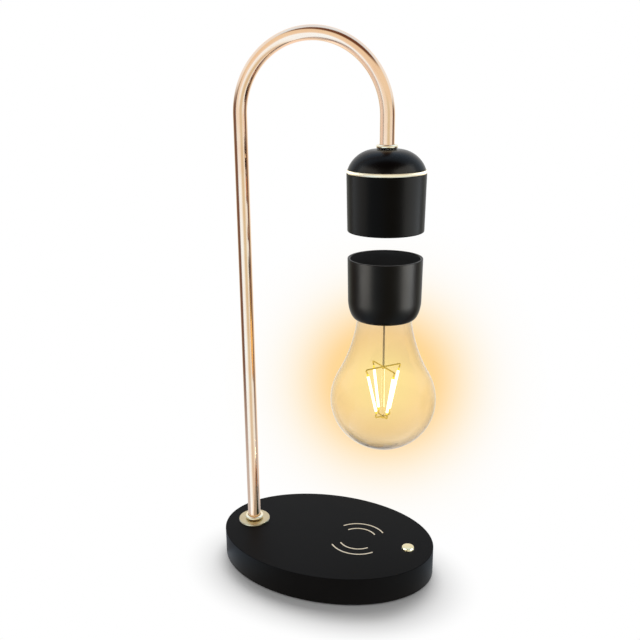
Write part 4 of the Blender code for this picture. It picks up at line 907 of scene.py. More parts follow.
# %% [markdown]
# ## The bent tube
#
# A bender would take a straight tube and roll it over a wheel. The model follows that: a
# circle is inset to a ring as thick as the tube's wall, the ring is pulled up for the post,
# spun half a turn about the middle of the arch, and pulled down again to the head.

# %% Arm tube
tube_low, tube_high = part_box("arm_tube")
TUBE_WALL = 1.0 * MM
arch_radius = (head_middle.x - post_middle.x) / 2
arch_middle_x = (head_middle.x + post_middle.x) / 2
arch_z = tube_high.z - TUBE_RADIUS - arch_radius
head_end_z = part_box("head_collar")[0].z

tube = start(
    "arm_tube_fine", bpy.ops.mesh.primitive_circle_add, vertices=64, radius=TUBE_RADIUS,
    fill_type="NGON", location=(post_middle.x, post_middle.y, tube_low.z),
)
shape_all()
bpy.ops.mesh.inset(thickness=TUBE_WALL)
bpy.ops.mesh.delete(type="FACE")
pick("FACE", lambda face: True)
pull((0, 0, arch_z - tube_low.z))
bpy.ops.mesh.spin(
    steps=96, angle=math.pi, center=(arch_middle_x, post_middle.y, arch_z), axis=(0, -1, 0)
)
pull((0, 0, head_end_z - arch_z))
close_up()
finish_off(tube, 40, rose_gold, "stand", "rose_gold", "arm_tube")

# %% [markdown]
# ## The magnet head
#
# The head is three turned pieces: a dome with a round crown, a thin gold ring with a faintly
# bulging rim, and a cup with an almost upright wall and a small radius at its lower edge.
# The seams between them are real gaps of a third of a millimetre, which draw the fine dark
# lines above and below the ring.

# %% Dome
dome_low, dome_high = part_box("head_dome")
ring_low, ring_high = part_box("head_ring")
cup_low, cup_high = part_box("head_housing")
rim_z = ring_high.z + SEAT_GAP
CROWN_RADIUS = 20.0 * MM
CROWN_OFFSET = 7.57 * MM
DOME_WALL = 2.2 * MM
SPIGOT_RADIUS = 24.7 * MM
crown_z = dome_high.z - CROWN_RADIUS
rim_angle = math.degrees(math.asin((rim_z - crown_z) / CROWN_RADIUS))
inner_radius = CROWN_RADIUS - DOME_WALL
inner_angle = math.degrees(math.acos((SPIGOT_RADIUS - DOME_WALL - CROWN_OFFSET) / inner_radius))
dome_section = [(SPIGOT_RADIUS - DOME_WALL, dome_low.z)]
dome_section += arc_points((CROWN_OFFSET, crown_z), inner_radius, inner_angle, 90, 16)
dome_section += [(nipple_hole, dome_high.z - DOME_WALL), (nipple_hole, dome_high.z)]
dome_section += arc_points((CROWN_OFFSET, crown_z), CROWN_RADIUS, 90, rim_angle, 28)
dome_section += [(SPIGOT_RADIUS, rim_z), (SPIGOT_RADIUS, dome_low.z)]
dome = turned_piece("head_dome_fine", dome_section, head_middle, 160, closed=True)
finish_off(dome, 35, dome_black, "stand", "satin_black", "head_dome", edge=(0.15 * MM, 2, 50))

# %% [markdown]
# The ring's rim bulges by less than half a millimetre, as half a sine wave. That is enough to
# keep a thin bright line on it from every side. The cup's floor closes it below, and a ledge
# inside carries the board.

# %% Ring and cup
ring_bore = SPIGOT_RADIUS + SEAT_GAP
ring_radius = half_width("head_ring")
BULGE = 0.4 * MM
bulge_line = [
    (ring_radius - BULGE + BULGE * math.sin(math.pi * index / 10),
     ring_high.z - (ring_high.z - ring_low.z) * index / 10)
    for index in range(11)
]
ring_section = [(ring_bore, ring_low.z), (ring_bore, ring_high.z)] + bulge_line
ring = turned_piece("head_ring_fine", ring_section, head_middle, 160, closed=True)
finish_off(ring, 40, ring_gold, "stand", "pale_gold", "head_ring")

cup_top_radius = half_width("head_housing")
CUP_BOTTOM_RADIUS = 26.5 * MM
CUP_FLOOR = 2.0 * MM
CUP_EDGE = 0.8 * MM
RIM_EASE = 0.15 * MM
ledge_z = cup_high.z - 9.8 * MM
ledge_radius = ring_bore - 0.8 * MM
cup_section = [
    (0, cup_low.z + CUP_FLOOR), (ledge_radius, cup_low.z + CUP_FLOOR), (ledge_radius, ledge_z),
    (ring_bore, ledge_z), (ring_bore, cup_high.z), (cup_top_radius - RIM_EASE, cup_high.z),
    (cup_top_radius, cup_high.z - RIM_EASE),
]
cup_section += arc_points((CUP_BOTTOM_RADIUS - CUP_EDGE, cup_low.z + CUP_EDGE), CUP_EDGE, 0, -90, 8)
cup_section += [(0, cup_low.z)]
cup = turned_piece("head_cup_fine", cup_section, head_middle, 160)
finish_off(cup, 35, head_black, "stand", "satin_black", "head_housing")

# %% [markdown]
# ## The bulb's cap
#
# The cap floats a finger's width under the head. Its side tapers a little, then turns in
# over a full shoulder to the glass. The shoulder is neither a circle nor a straight slope,
# but a curve between the two, so its points come from a rounded-power curve. The top is a
# rough disc let into a thin raised rim.

# %% Cap
cap_low, cap_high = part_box("bulb_cap")
lid_low, lid_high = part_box("cap_lid")
lid_radius, cap_radius = half_width("cap_lid"), half_width("bulb_cap")
WAIST_RADIUS = 25.9 * MM
MOUTH_RADIUS = 20.5 * MM
SHOULDER_HEIGHT = 13.8 * MM
SHOULDER_POWER = 1.85
CAP_WALL = 2.0 * MM
GLASS_NECK = 19.3 * MM
RIM_ROUND = 0.4 * MM
RIM_CHAMFER = 0.12 * MM
SEAT_LEDGE = 0.8 * MM


def shoulder_line(inset, steps):
    """Points of the cap's shoulder from its waist down to its mouth."""
    line = []
    for index in range(steps + 1):
        share = math.sin(math.pi / 2 * index / steps)
        bulge = (1 - share ** SHOULDER_POWER) ** (1 / SHOULDER_POWER)
        radius = MOUTH_RADIUS + (WAIST_RADIUS - MOUTH_RADIUS) * bulge - inset
        line.append((radius, cap_low.z + SHOULDER_HEIGHT * (1 - share)))
    return line


mouth = GLASS_NECK + SEAT_GAP
seat_radius, seat_z = lid_radius + SEAT_GAP, lid_low.z - SEAT_GAP
cap_section = [(mouth, cap_low.z), (mouth, cap_low.z + CAP_WALL)]
cap_section += [
    (max(radius, mouth), height) for radius, height in reversed(shoulder_line(CAP_WALL, 14))
    if height > cap_low.z + CAP_WALL
]
cap_section += [
    (lid_radius - SEAT_LEDGE, seat_z), (seat_radius, seat_z),
    (seat_radius, cap_high.z - RIM_CHAMFER), (seat_radius + RIM_CHAMFER, cap_high.z),
]
cap_section += arc_points((cap_radius - RIM_ROUND, cap_high.z - RIM_ROUND), RIM_ROUND, 90, 0, 6)
cap_section += shoulder_line(0, 28)
cap = turned_piece("bulb_cap_fine", cap_section, head_middle, 160, closed=True)
finish_off(cap, 35, cap_black, "bulb", "satin_black", "bulb_cap")

lid_section = [(0, lid_high.z), (lid_radius, lid_high.z), (lid_radius, lid_low.z), (0, lid_low.z)]
lid = turned_piece("cap_lid_fine", lid_section, head_middle, 160)
finish_off(lid, 32, lid_black, "bulb", "matte_black", "cap_lid", edge=(0.15 * MM, 2))

# %% [markdown]
# ## The bulb's glass
#
# The glass is blown: a ball at the bottom that is a little flat at its tip, and a long
# hollow curve up to the neck. The section is drawn twice, once outside and once a wall
# thickness further in, and both lines end on the axis, so the spin makes one closed wall.
# Real inner and outer faces bend the light, which draws the grey lines at the glass's edge.

# %% Glass section
BALL_RADIUS = 38.5 * MM
BALL_DROP = 37.2 * MM
WAIST_CURVE = 110.5 * MM
WAIST_START = 30
GLASS_WALL = 0.8 * MM
NECK_EASE = 0.2 * MM
TIP_STEPS, BALL_STEPS, WAIST_STEPS = 22, 10, 18
ball_z = glass_low.z + BALL_DROP


def glass_line(inset):
    """Half of the glass from its tip to its neck, moved in by an inset."""
    tip = [
        ((BALL_RADIUS - inset) * math.sin(angle), ball_z - (BALL_DROP - inset) * math.cos(angle))
        for angle in (math.radians(90 * index / TIP_STEPS) for index in range(TIP_STEPS + 1))
    ]
    ball = arc_points((0, ball_z), BALL_RADIUS - inset, 0, WAIST_START, BALL_STEPS)
    reach = BALL_RADIUS + WAIST_CURVE
    centre_r = reach * math.cos(math.radians(WAIST_START))
    centre_z = ball_z + reach * math.sin(math.radians(WAIST_START))
    curve = WAIST_CURVE + inset
    end = math.degrees(math.acos(min((centre_r - GLASS_NECK + inset) / curve, 1)))
    waist = arc_points((centre_r, centre_z), -curve, WAIST_START, end, WAIST_STEPS)
    return tip + ball[1:] + waist[1:]


neck_inside = GLASS_NECK - GLASS_WALL
rim = [
    (neck_inside, glass_high.z - NECK_EASE), (neck_inside + NECK_EASE, glass_high.z),
    (GLASS_NECK - NECK_EASE, glass_high.z), (GLASS_NECK, glass_high.z - NECK_EASE),
]
glass_section = glass_line(GLASS_WALL) + rim + list(reversed(glass_line(0)))
glass = turned_piece("bulb_glass_fine", glass_section, head_middle, 160)
finish_off(glass, 60, bulb_clear, "bulb", "clear_glass", "bulb_glass")

# %% [markdown]
# The neck is closed by a black plug that carries the stem. It is seen through the glass from
# below, so it gets the same care as the pieces outside.

# %% Neck plug
plug_low, plug_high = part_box("stem_holder")
plug_flange = half_width("stem_holder")
plug_radius = GLASS_NECK - GLASS_WALL - SEAT_GAP
flange_z, socket_z = glass_high.z + SEAT_GAP, plug_low.z + 4.3 * MM
PLUG_EASE, PLUG_BORE = 0.4 * MM, 1.0 * MM
plug_section = [
    (0, plug_high.z), (plug_flange, plug_high.z), (plug_flange, flange_z), (plug_radius, flange_z),
    (plug_radius, plug_low.z + PLUG_EASE), (plug_radius - PLUG_EASE, plug_low.z),
    (3 * PLUG_BORE, plug_low.z), (PLUG_BORE, plug_low.z + MM), (PLUG_BORE, socket_z), (0, socket_z),
]
plug = turned_piece("neck_plug_fine", plug_section, head_middle, 96)
finish_off(plug, 35, rough_black, "bulb", "matte_black", "stem_holder")

# %% [markdown]
# ## Filaments and their carrier
#
# A thin stem comes down from the neck to a small hub. Four gold wires spread from the hub
# and hook down to the tops of four leaning filaments, and a second, smaller cross gathers
# their feet. A glass rod keeps the two hubs apart.

# %% Stem, rod and hubs
stem_low, stem_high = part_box("filament_stem")
rod_low, rod_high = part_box("glass_rod")
STEM_RADIUS = 0.7 * MM
HUB_RADIUS = 1.6 * MM
HUB_HEIGHT = 1.8 * MM
STEM_BEAD = 0.8 * MM
ROD_ROUND = 0.4 * MM
bead_z = stem_low.z + 2.2 * MM
stem_section = [
    (0, stem_high.z), (STEM_RADIUS, stem_high.z), (STEM_RADIUS, bead_z + STEM_BEAD),
    (STEM_RADIUS * 1.25, bead_z), (STEM_RADIUS, bead_z - STEM_BEAD),
    (STEM_RADIUS, stem_low.z), (0, stem_low.z),
]
stem = turned_piece("stem_fine", stem_section, head_middle, 32)
finish_off(stem, 40, steel, "bulb", "steel", "filament_stem")
rod_inner = half_width("glass_rod") - ROD_ROUND
upper_round = arc_points((rod_inner, rod_high.z - ROD_ROUND), ROD_ROUND, 90, 0, 5)
lower_round = arc_points((rod_inner, rod_low.z + ROD_ROUND), ROD_ROUND, 0, -90, 5)
rod_section = [(0, rod_high.z)] + upper_round + lower_round + [(0, rod_low.z)]
rod = turned_piece("glass_rod_fine", rod_section, head_middle, 32)
finish_off(rod, 60, rod_clear, "bulb", "clear_glass", "glass_rod")

# %% [markdown]
# One wire of a cross is a circle pulled straight out from the hub, spun round a small elbow,
# and pulled on to the filament.

# %% One wire
WIRE_RADIUS = 0.6 * MM
ELBOW = 0.9 * MM
filament_turns = [math.radians(48 + 90 * index) for index in range(4)]


def along(angle, length):
    """A move in the X-Z plane, at an angle in degrees above +X."""
    return Vector((math.cos(math.radians(angle)), 0, math.sin(math.radians(angle)))) * length


def rise(move):
    """The angle of a move above +X, in degrees."""
    return math.degrees(math.atan2(move.z, move.x))


def wire_arm(name, level_z, corner, tip):
    """A bent wire from the axis to a corner and on to its tip, both as (reach, height)."""
    centre, bend_at, end = (
        Vector((reach, 0, level_z + height)) for reach, height in ((0, 0), corner, tip)
    )
    first, second = rise(bend_at - centre), rise(end - bend_at)
    bend, side = abs(second - first), math.copysign(1, second - first)
    short = ELBOW * math.tan(math.radians(bend / 2))
    arm = start(
        name, bpy.ops.mesh.primitive_circle_add, vertices=20, radius=WIRE_RADIUS, fill_type="NGON",
        location=centre, rotation=(0, math.pi / 2 - math.radians(first), 0),
    )
    bpy.ops.object.transform_apply(location=True, rotation=True, scale=True)
    shape_all()
    run = along(first, (bend_at - centre).length - short)
    pull(run)
    elbow = centre + run + along(first + 90 * side, ELBOW)
    bpy.ops.mesh.spin(steps=8, angle=math.radians(bend), center=elbow, axis=(0, side, 0))
    pull(along(second, (end - bend_at).length - short))
    close_up()
    return arm


# %% [markdown]
# A cross is a small turned hub with four such wires, each turned to its own filament. They
# are joined, so that nothing shows where wire and hub meet.

# %% Wire crosses
def wire_cross(name, solid, level_z, corner, tip):
    """A hub with four wires, joined into one piece."""
    top, bottom = level_z + HUB_HEIGHT / 2, level_z - HUB_HEIGHT / 2
    ease = 0.3 * MM
    section = [
        (0, top), (HUB_RADIUS - ease, top), (HUB_RADIUS, top - ease), (HUB_RADIUS, bottom + ease),
        (HUB_RADIUS - ease, bottom), (0, bottom),
    ]
    hub = turned_piece(name, section, head_middle, 32)
    for index, angle in enumerate(filament_turns):
        arm = wire_arm(f"{name}_arm_{index}", level_z, corner, tip)
        arm.location = (head_middle.x, head_middle.y, 0)
        arm.rotation_euler = (0, 0, angle)
        cut(hub, arm, "UNION")
    return finish_off(hub, 40, wire_gold, "bulb", "pale_gold", solid)


upper_z = rod_high.z + SEAT_GAP + HUB_HEIGHT / 2
lower_z = rod_low.z - SEAT_GAP - HUB_HEIGHT / 2
upper_bends = ((15.0 * MM, 0), (13.47 * MM, -3.01 * MM))
lower_bends = ((6.4 * MM, 0.7 * MM), (5.33 * MM, 3.41 * MM))
wire_cross("upper_cross_fine", "upper_spider", upper_z, *upper_bends)
wire_cross("lower_cross_fine", "lower_spider", lower_z, *lower_bends)
print("crosses at", round(upper_z / MM, 1), "and", round(lower_z / MM, 1), "mm")

# %% [markdown]
# A filament is turned like the other round pieces: a coated rod with rounded ends, and a
# thinner bare terminal at each end. Each is turned upright on the world's axis, tipped to its
# lean and moved to its place. The terminals get a second material.

# %% Filaments
ROD_RADIUS = 0.9 * MM
TERMINAL_RADIUS = 0.6 * MM
TERMINAL_LENGTH = 1.8 * MM
TERMINAL_EASE, COAT_EASE = 0.15 * MM, 0.5 * MM
top_point = Vector((13.4 * MM, 0, upper_z - 3.3 * MM))
foot_point = Vector((5.4 * MM, 0, upper_z - 35.6 * MM))
middle = (top_point + foot_point) / 2
half_length = (top_point - foot_point).length / 2
coat_end = half_length - TERMINAL_LENGTH
upper_half = [
    (0, half_length), (TERMINAL_RADIUS - TERMINAL_EASE, half_length),
    (TERMINAL_RADIUS, half_length - TERMINAL_EASE), (TERMINAL_RADIUS, coat_end),
]
upper_half += arc_points((ROD_RADIUS - COAT_EASE, coat_end - COAT_EASE), COAT_EASE, 60, 0, 4)
filament_section = upper_half + [(radius, -height) for radius, height in reversed(upper_half)]
lean = math.atan2(top_point.x - foot_point.x, top_point.z - foot_point.z)
for index, angle in enumerate(filament_turns, 1):
    filament = turned_piece(f"filament_fine_{index}", filament_section, Vector((0, 0, 0)), 24)
    smooth(filament, 40)
    faces = filament.data.polygons
    ends = [face.index for face in faces if abs(face.center.z) > coat_end - MM / 100]
    leaning = Matrix.Rotation(angle, 4, "Z") @ Matrix.Rotation(lean, 4, "Y")
    filament.rotation_euler = leaning.to_euler()
    filament.location = (
        head_middle.x + middle.x * math.cos(angle),
        head_middle.y + middle.x * math.sin(angle),
        middle.z,
    )
    hand_over(filament, glow_finish, "bulb", "filament", f"filament_{index}")
    filament.data.materials.append(terminal_finish)
    for face_index in ends:
        filament.data.polygons[face_index].material_index = 1

# %% [markdown]
# ## The charging mark
#
# A round mark of thin strokes shows where the charging coil lies. It is printed, so it stands
# only a few hundredths of a millimetre above the plastic. One stroke is a short edge spun
# round the coil's axis. Its four corners are bevelled to round ends, and the strip is pulled
# up to the thickness of the print. Two long strokes make the outer ring and two short ones
# the inner ring, and both rings stay open to the left and right.

# %% Charging mark
MARK_THICKNESS = 0.03 * MM
STROKE_WIDTH = 1.1 * MM
mark_tones = ((0.72, 0.58, 0.40), (0.80, 0.67, 0.50))
mark_finish = turned_metal("mark_gold", mark_tones, (0.35, 0.45), coil_middle, 800.0, 0.000002)


def mark_stroke(name, radius, turn_by, sweep):
    """A printed curved stroke with round ends. The angles are in degrees."""
    stroke = start(name, bpy.ops.mesh.primitive_plane_add, size=STROKE_WIDTH, location=(0, 0, 0))
    bpy.ops.object.mode_set(mode="EDIT")
    pick("VERT", lambda vert: vert.co.y > 0)
    bpy.ops.mesh.delete(type="VERT")
    bpy.ops.mesh.select_all(action="SELECT")
    bpy.ops.transform.translate(value=(radius, STROKE_WIDTH / 2, 0))
    bpy.ops.mesh.spin(
        steps=int(sweep / 2), angle=math.radians(sweep), center=(0, 0, 0), axis=(0, 0, -1)
    )
    pick("VERT", lambda vert: len(vert.link_edges) == 2)
    bpy.ops.mesh.bevel(offset=STROKE_WIDTH * 0.45, segments=6, affect="VERTICES")
    face_outwards()
    pull((0, 0, MARK_THICKNESS))
    face_outwards()
    hands_off()
    stroke.location = (coil_middle.x, coil_middle.y, base_high.z)
    stroke.rotation_euler = (0, 0, math.radians(turn_by))
    return stroke


OUTER_RING, INNER_RING = 21.7 * MM, 14.6 * MM
RING_START, RING_SWEEP = 40.5, 99.0
strokes = [
    (radius, turn_by)
    for radius in (OUTER_RING, INNER_RING) for turn_by in (RING_START, RING_START - 180)
]
for index, (radius, turn_by) in enumerate(strokes, 1):
    stroke = mark_stroke(f"mark_stroke_{index}", radius, turn_by, RING_SWEEP)
    hand_over(stroke, mark_finish, "stand", "rose_gold")
print(len(strokes), "strokes round", [round(part / MM, 1) for part in coil_middle])

# %% [markdown]
# ## Finishes for the pieces inside
#
# The coils, magnets, boards and fasteners keep their plain solids, because closed walls hide
# them. They still get their real finishes, so that the lamp looks right when it is opened.

# %% Inner pieces
inner_finishes = {
    steel: ("ballast_plate", "switch_plunger", "post_washer", "post_nut", "post_nipple", "head_nut",
            "head_nipple", "magnet_core"),
    base_copper: ("charging_coil",),
    head_copper: ("transmitter_coil", "magnet_winding", "receiver_coil"),
    ferrite: ("coil_ferrite", "receiver_ferrite"),
    board_green: ("charging_board", "switch_board", "head_board", "driver_board"),
    rough_black: ("switch_housing", "hall_sensor", "magnet_bobbin", "magnet_carrier"),
    nickel: ("holding_magnet", "bulb_magnet"),
    cable_sheath: ("arm_cable",),
}
for finish, nodes in inner_finishes.items():
    for node in nodes:
        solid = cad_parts[node]
        solid.data.materials.clear()
        solid.data.materials.append(finish)
print(sum(len(nodes) for nodes in inner_finishes.values()), "inner pieces finished")

# %% [markdown]
# ## Floor, world and light
#
# Polished metal and satin black only show their shape by what they mirror, so the studio
# round the lamp matters more than its lamps. It is white behind the lamp and pale at the
# camera's side, with a bright panel to the left of it. A brown gap at each side draws the
# thin brown lines down the tube. A shader group holds this once, as a ramp that goes round
# the horizon from straight behind over the left to the camera in the middle and on over the
# right. The bright parts are bluish, because the rose gold takes the blue away again and a
# photographed highlight looks white. A ramp's colours end at 1, so they are kept as shares
# of the brightest.

# %% The studio seen by mirrors
towards_camera = Vector((-forward.x, -forward.y, 0)).normalized()
BRIGHTEST = 2.1
WHITE, PALE, PANEL = (1.0, 1.0, 1.0), (0.94, 1.18, 1.40), (1.0, 1.38, 1.85)
PLAIN, BROWN, HIGH_PANEL = (0.74, 0.76, 0.64), (0.19, 0.12, 0.10), (0.92, 0.95, 0.95)
STUDIO_ROUND = (
    (-180, WHITE), (-140, PLAIN), (-122, BROWN), (-70, BROWN), (-57, PANEL), (-28, PANEL),
    (-12, PALE), (2, PLAIN), (28, PLAIN), (48, PALE), (73, PALE), (85, BROWN), (108, BROWN),
    (124, PLAIN), (150, WHITE),
)

studio_round = new_group("studio_round", {"Direction": (0.0, 1.0, 0.0)}, ["To Front"], ["Light"])
given = add_node(studio_round, "NodeGroupInput").outputs["Direction"]
to_front = vector_calc(studio_round, "DOT_PRODUCT", given, towards_camera, "Value")
to_right = vector_calc(studio_round, "DOT_PRODUCT", given, level_right, "Value")
bearing = calc(studio_round, "ARCTAN2", to_right, to_front)
share_round = calc(studio_round, "ADD", calc(studio_round, "DIVIDE", bearing, math.tau), 0.5)
stops = [
    ((angle + 180) / 360, tuple(part / BRIGHTEST for part in colour))
    for angle, colour in STUDIO_ROUND
]
levels = colour_ramp(studio_round, share_round, stops)
light = add_node(
    studio_round, "ShaderNodeVectorMath", {0: levels}, operation="SCALE", Scale=BRIGHTEST
).outputs["Vector"]
add_node(studio_round, "NodeGroupOutput", Light=light, To_Front=to_front)
print("studio group:", len(STUDIO_ROUND), "stops round the horizon")

# %% [markdown]
# The floor is a pale round sheet. Near the base it keeps the lamp's soft shadow, and a little
# further out a painted glow turns it to plain white, so that neither a horizon nor the sheet's
# edge shows. How far out is measured as an oval like the base's own, pushed a little towards
# the camera, so the shadow's shape is partly painted shade: the real shadow of the light from
# behind, deepened at the front, where the painted glow starts later. Mirrors see the studio's
# ramp on it too, so the lines in the tube run on down to its foot, where the brown ones get
# paler. Close to the base the sheet is grey, as only the black side of the base mirrors that
# part. From below it can be seen through, so that the lamp's underside can be looked at.

# %% Floor
SHEET_RADIUS = 0.62
SHADE_SHIFT = 17 * MM
FADE_START, FADE_END = 0.81, 1.428
NEAR_BROWN, BROWN_REACH = (0.60, 0.66, 0.78), (0.08, 0.46)

floor = start(
    "studio_floor", bpy.ops.mesh.primitive_circle_add, vertices=128, radius=SHEET_RADIUS,
    fill_type="NGON", location=(0, 0, 0),
)
floor_finish, tree, shader = new_finish("floor_white", Roughness=0.9, Specular_IOR_Level=0.0)
floor.data.materials.append(floor_finish)
print("floor", round(2 * SHEET_RADIUS, 2), "m across")

# %% [markdown]
# The finish of the sheet finds out how far a point is from the base, and by what kind of ray
# it is seen.

# %% Floor finish
def soft_step(tree, value, begin, end):
    """0 below begin, 1 above end and a soft slope between."""
    return stretch(tree, value, begin, end, kind="SMOOTHSTEP")


place = object_place(tree)
# Painted shadow: the glow that whitens the floor rises with this oval distance from the base.
shifted = vector_calc(tree, "SUBTRACT", place, towards_camera * SHADE_SHIFT)
as_oval = vector_calc(tree, "DIVIDE", shifted, (base_high.x, base_high.y, 1))
painted_shadow_fade = soft_step(tree, vector_calc(tree, "LENGTH", as_oval, result="Value"), FADE_START, FADE_END)
paths = add_node(tree, "ShaderNodeLightPath").outputs
through_wall = paths["Is Transmission Ray"]
eye = calc(tree, "MAXIMUM", paths["Is Camera Ray"], through_wall)
mirror = calc(tree, "MAXIMUM", calc(tree, "SUBTRACT", paths["Is Glossy Ray"], through_wall), 0.0)
from_post = vector_calc(tree, "SUBTRACT", place, post_middle)
round_post = use_group(tree, studio_round, Direction=from_post)
reach = vector_calc(tree, "LENGTH", from_post, result="Value")
near = calc(tree, "SUBTRACT", 1.0, soft_step(tree, reach, *BROWN_REACH))
round_light = blend(tree, near, round_post.outputs["Light"], NEAR_BROWN, how="LIGHTEN")
lit = calc(tree, "MAXIMUM", calc(tree, "MULTIPLY", painted_shadow_fade, eye), mirror)
grey = add_node(tree, "ShaderNodeRGBToBW", Color=round_light).outputs["Val"]
glow = blend(tree, mirror, WHITE, blend(tree, painted_shadow_fade, grey, round_light))
paper = use_group(tree, grain, Grain_Scale=300.0, Cloud_Scale=8.0).outputs["Cloud"]
shades = mixed_colour(tree, shader, paper, (0.86, 0.86, 0.86), (0.88, 0.88, 0.88))
feed(tree, shader.inputs["Base Color"], blend(tree, lit, shades, (0.0, 0.0, 0.0)))
feed(tree, shader.inputs["Emission Color"], glow)
feed(tree, shader.inputs["Emission Strength"], lit)
from_below = add_node(tree, "ShaderNodeNewGeometry").outputs["Backfacing"]
window = add_node(tree, "ShaderNodeBsdfTransparent").outputs["BSDF"]
sheet = add_node(tree, "ShaderNodeMixShader", {0: from_below, 1: shader.outputs["BSDF"], 2: window})
feed(tree, tree.nodes["Material Output"].inputs["Surface"], sheet.outputs["Shader"])
print("floor finish:", len(tree.nodes), "nodes")

# %% [markdown]
# The world has three faces. To the eye it is plain white. Through glass it is white behind
# the lamp and dims to the sides, which draws the fine grey lines at the bulb's edge. In
# mirrors it is the studio's ramp, whose bright panels dim a little towards the horizon. Above
# that it is even before the lamp and bluish at its sides. Near the top it has a bright
# ceiling behind the lamp and a brown one before it, which draws the dark line along the arch.

# %% World
AMBIENT = (0.45, 0.45, 0.45)
UPPER_BEFORE, UPPER_SIDE = (0.88, 0.86, 0.76), (0.90, 1.09, 1.30)
CEILING_BEHIND, CEILING_BEFORE = (0.80, 1.08, 1.45), (0.15, 0.07, 0.04)
SIDE_THROUGH_GLASS = (0.25, 0.25, 0.25)
FRONT_FADE, BACK_FADE, GLASS_FADE = (-0.05, 0.15), (-0.86, -0.60), (0.35, 0.80)
PANEL_FADE, UPPER_FADE, CEILING_FADE = (-0.16, -0.02), (0.02, 0.25), (0.62, 0.80)

world = bpy.data.worlds.new("white_studio")
bpy.context.scene.world = world
world.use_nodes = True
tree = world.node_tree
direction = add_node(tree, "ShaderNodeTexCoord").outputs["Generated"]
studio = use_group(tree, studio_round, Direction=direction).outputs
upward = vector_calc(tree, "DOT_PRODUCT", direction, (0, 0, 1), "Value")
in_front = soft_step(tree, studio["To Front"], *FRONT_FADE)
ceiling = blend(tree, in_front, CEILING_BEHIND, CEILING_BEFORE)
upper = blend(tree, soft_step(tree, studio["To Front"], *BACK_FADE), WHITE, UPPER_SIDE)
upper = blend(tree, in_front, upper, UPPER_BEFORE)
above = soft_step(tree, upward, *PANEL_FADE)
in_mirror = blend(tree, above, studio["Light"], HIGH_PANEL, how="DARKEN")
in_mirror = blend(tree, soft_step(tree, upward, *UPPER_FADE), in_mirror, upper)
in_mirror = blend(tree, soft_step(tree, upward, *CEILING_FADE), in_mirror, ceiling)
behind = vector_calc(tree, "DOT_PRODUCT", direction, forward, "Value")
through_glass = blend(tree, soft_step(tree, behind, *GLASS_FADE), SIDE_THROUGH_GLASS, WHITE)
paths = add_node(tree, "ShaderNodeLightPath").outputs
seen = AMBIENT
for ray, sight in (("Glossy", in_mirror), ("Transmission", through_glass), ("Camera", WHITE)):
    seen = blend(tree, paths[f"Is {ray} Ray"], seen, sight)
feed(tree, tree.nodes["Background"].inputs["Color"], seen)
print("world ready, ambient", AMBIENT[0])

# %% [markdown]
# Tall soft boxes stand left and right of the lamp. They are only there to be mirrored by
# the black pieces, where they draw upright lights: one pair a little to the front for the
# bulb's cap, and a wider pair further round for the head. In a studio, flags would keep them
# off the rest, and here each box is linked to the pieces it may light. Three dim ones are for
# the gold ring, and a small card inside the arch takes the brown line off the tube's end. The
# black pieces are kept out of the tube's mirror in the same way. The last box, behind and
# above, lights everything evenly and pulls the base's shadow to the front.

# %% Placing and flagging a soft box
target = Vector((10 * MM, 0, 200 * MM))
BOX_DISTANCE = 0.60
COOL = (0.80, 0.91, 1.0)


def around(angle, distance, height):
    """A place round the lamp. Angles are in degrees to the right of the camera."""
    turned = Matrix.Rotation(math.radians(angle), 3, "Z") @ towards_camera
    return Vector((target.x, target.y, 0)) + turned * distance + Vector((0, 0, height))


def soft_box(name, place, width, height, brightness, tone, aim=None):
    """An area light facing the lamp. Brightness 1 is that of white paper."""
    facing = (aim or target - place).to_track_quat("-Z", "Y")
    bpy.ops.object.light_add(type="AREA", location=place, rotation=facing.to_euler())
    box = bpy.context.object
    box.name = name
    box.data.shape = "RECTANGLE"
    box.data.size = width
    box.data.size_y = height
    box.data.energy = brightness * math.pi * width * height
    box.data.color = tone
    return box


def flag_off(box, pieces):
    """Let a box light only some pieces, and only their gloss."""
    lights = bpy.data.collections.new(f"{box.name}_lights")
    for piece in pieces:
        lights.objects.link(piece)
    box.light_linking.receiver_collection = lights
    box.visible_diffuse = False
    box.visible_camera = False


# %% [markdown]
# A row of the table is a box: its name, its angle to the right of the camera, its height,
# its width and length, its brightness and tone, and the pieces that mirror it.

# %% Soft boxes
boxes = (
    ("cap_box_left", -65, 0.28, 0.42, 0.66, 20.0, COOL, (cap, button)),
    ("cap_box_right", 68, 0.28, 0.44, 0.66, 19.5, COOL, (cap, button)),
    ("head_box_left", -89, 0.28, 0.72, 0.70, 3.6, COOL, (cup,)),
    ("head_box_right", 78, 0.28, 0.72, 0.70, 5.9, COOL, (cup,)),
    ("dome_box_left", -66, 0.46, 0.72, 0.70, 3.8, COOL, (dome,)),
    ("dome_box_right", 58, 0.46, 0.72, 0.70, 5.0, COOL, (dome,)),
    ("ring_box_left", -116, 0.30, 0.80, 0.50, 2.3, WHITE, (ring,)),
    ("ring_box_front", 0, 0.30, 0.80, 0.50, 0.6, WHITE, (ring,)),
    ("ring_box_right", 110, 0.30, 0.80, 0.50, 2.0, WHITE, (ring,)),
)
for name, angle, lift, width, height, brightness, tone, pieces in boxes:
    box_place = around(angle, BOX_DISTANCE, lift)
    flag_off(soft_box(name, box_place, width, height, brightness, tone), pieces)
card_place, card_aim = Vector((-12, -14, 336)) * MM, Vector((1, 0.2, 0))
flag_off(soft_box("tube_card", card_place, 0.06, 0.06, 0.7, COOL, card_aim), (tube,))
for piece in (cup, cap, lid):
    piece.visible_glossy = False
back_box = soft_box("soft_box_back", around(175, 0.45, 0.85), 0.50, 0.50, 6.0, WHITE)
back_box.visible_glossy = False
back_box.visible_transmission = False
print(len(boxes) + 2, "lights round", [round(part / MM) for part in target])

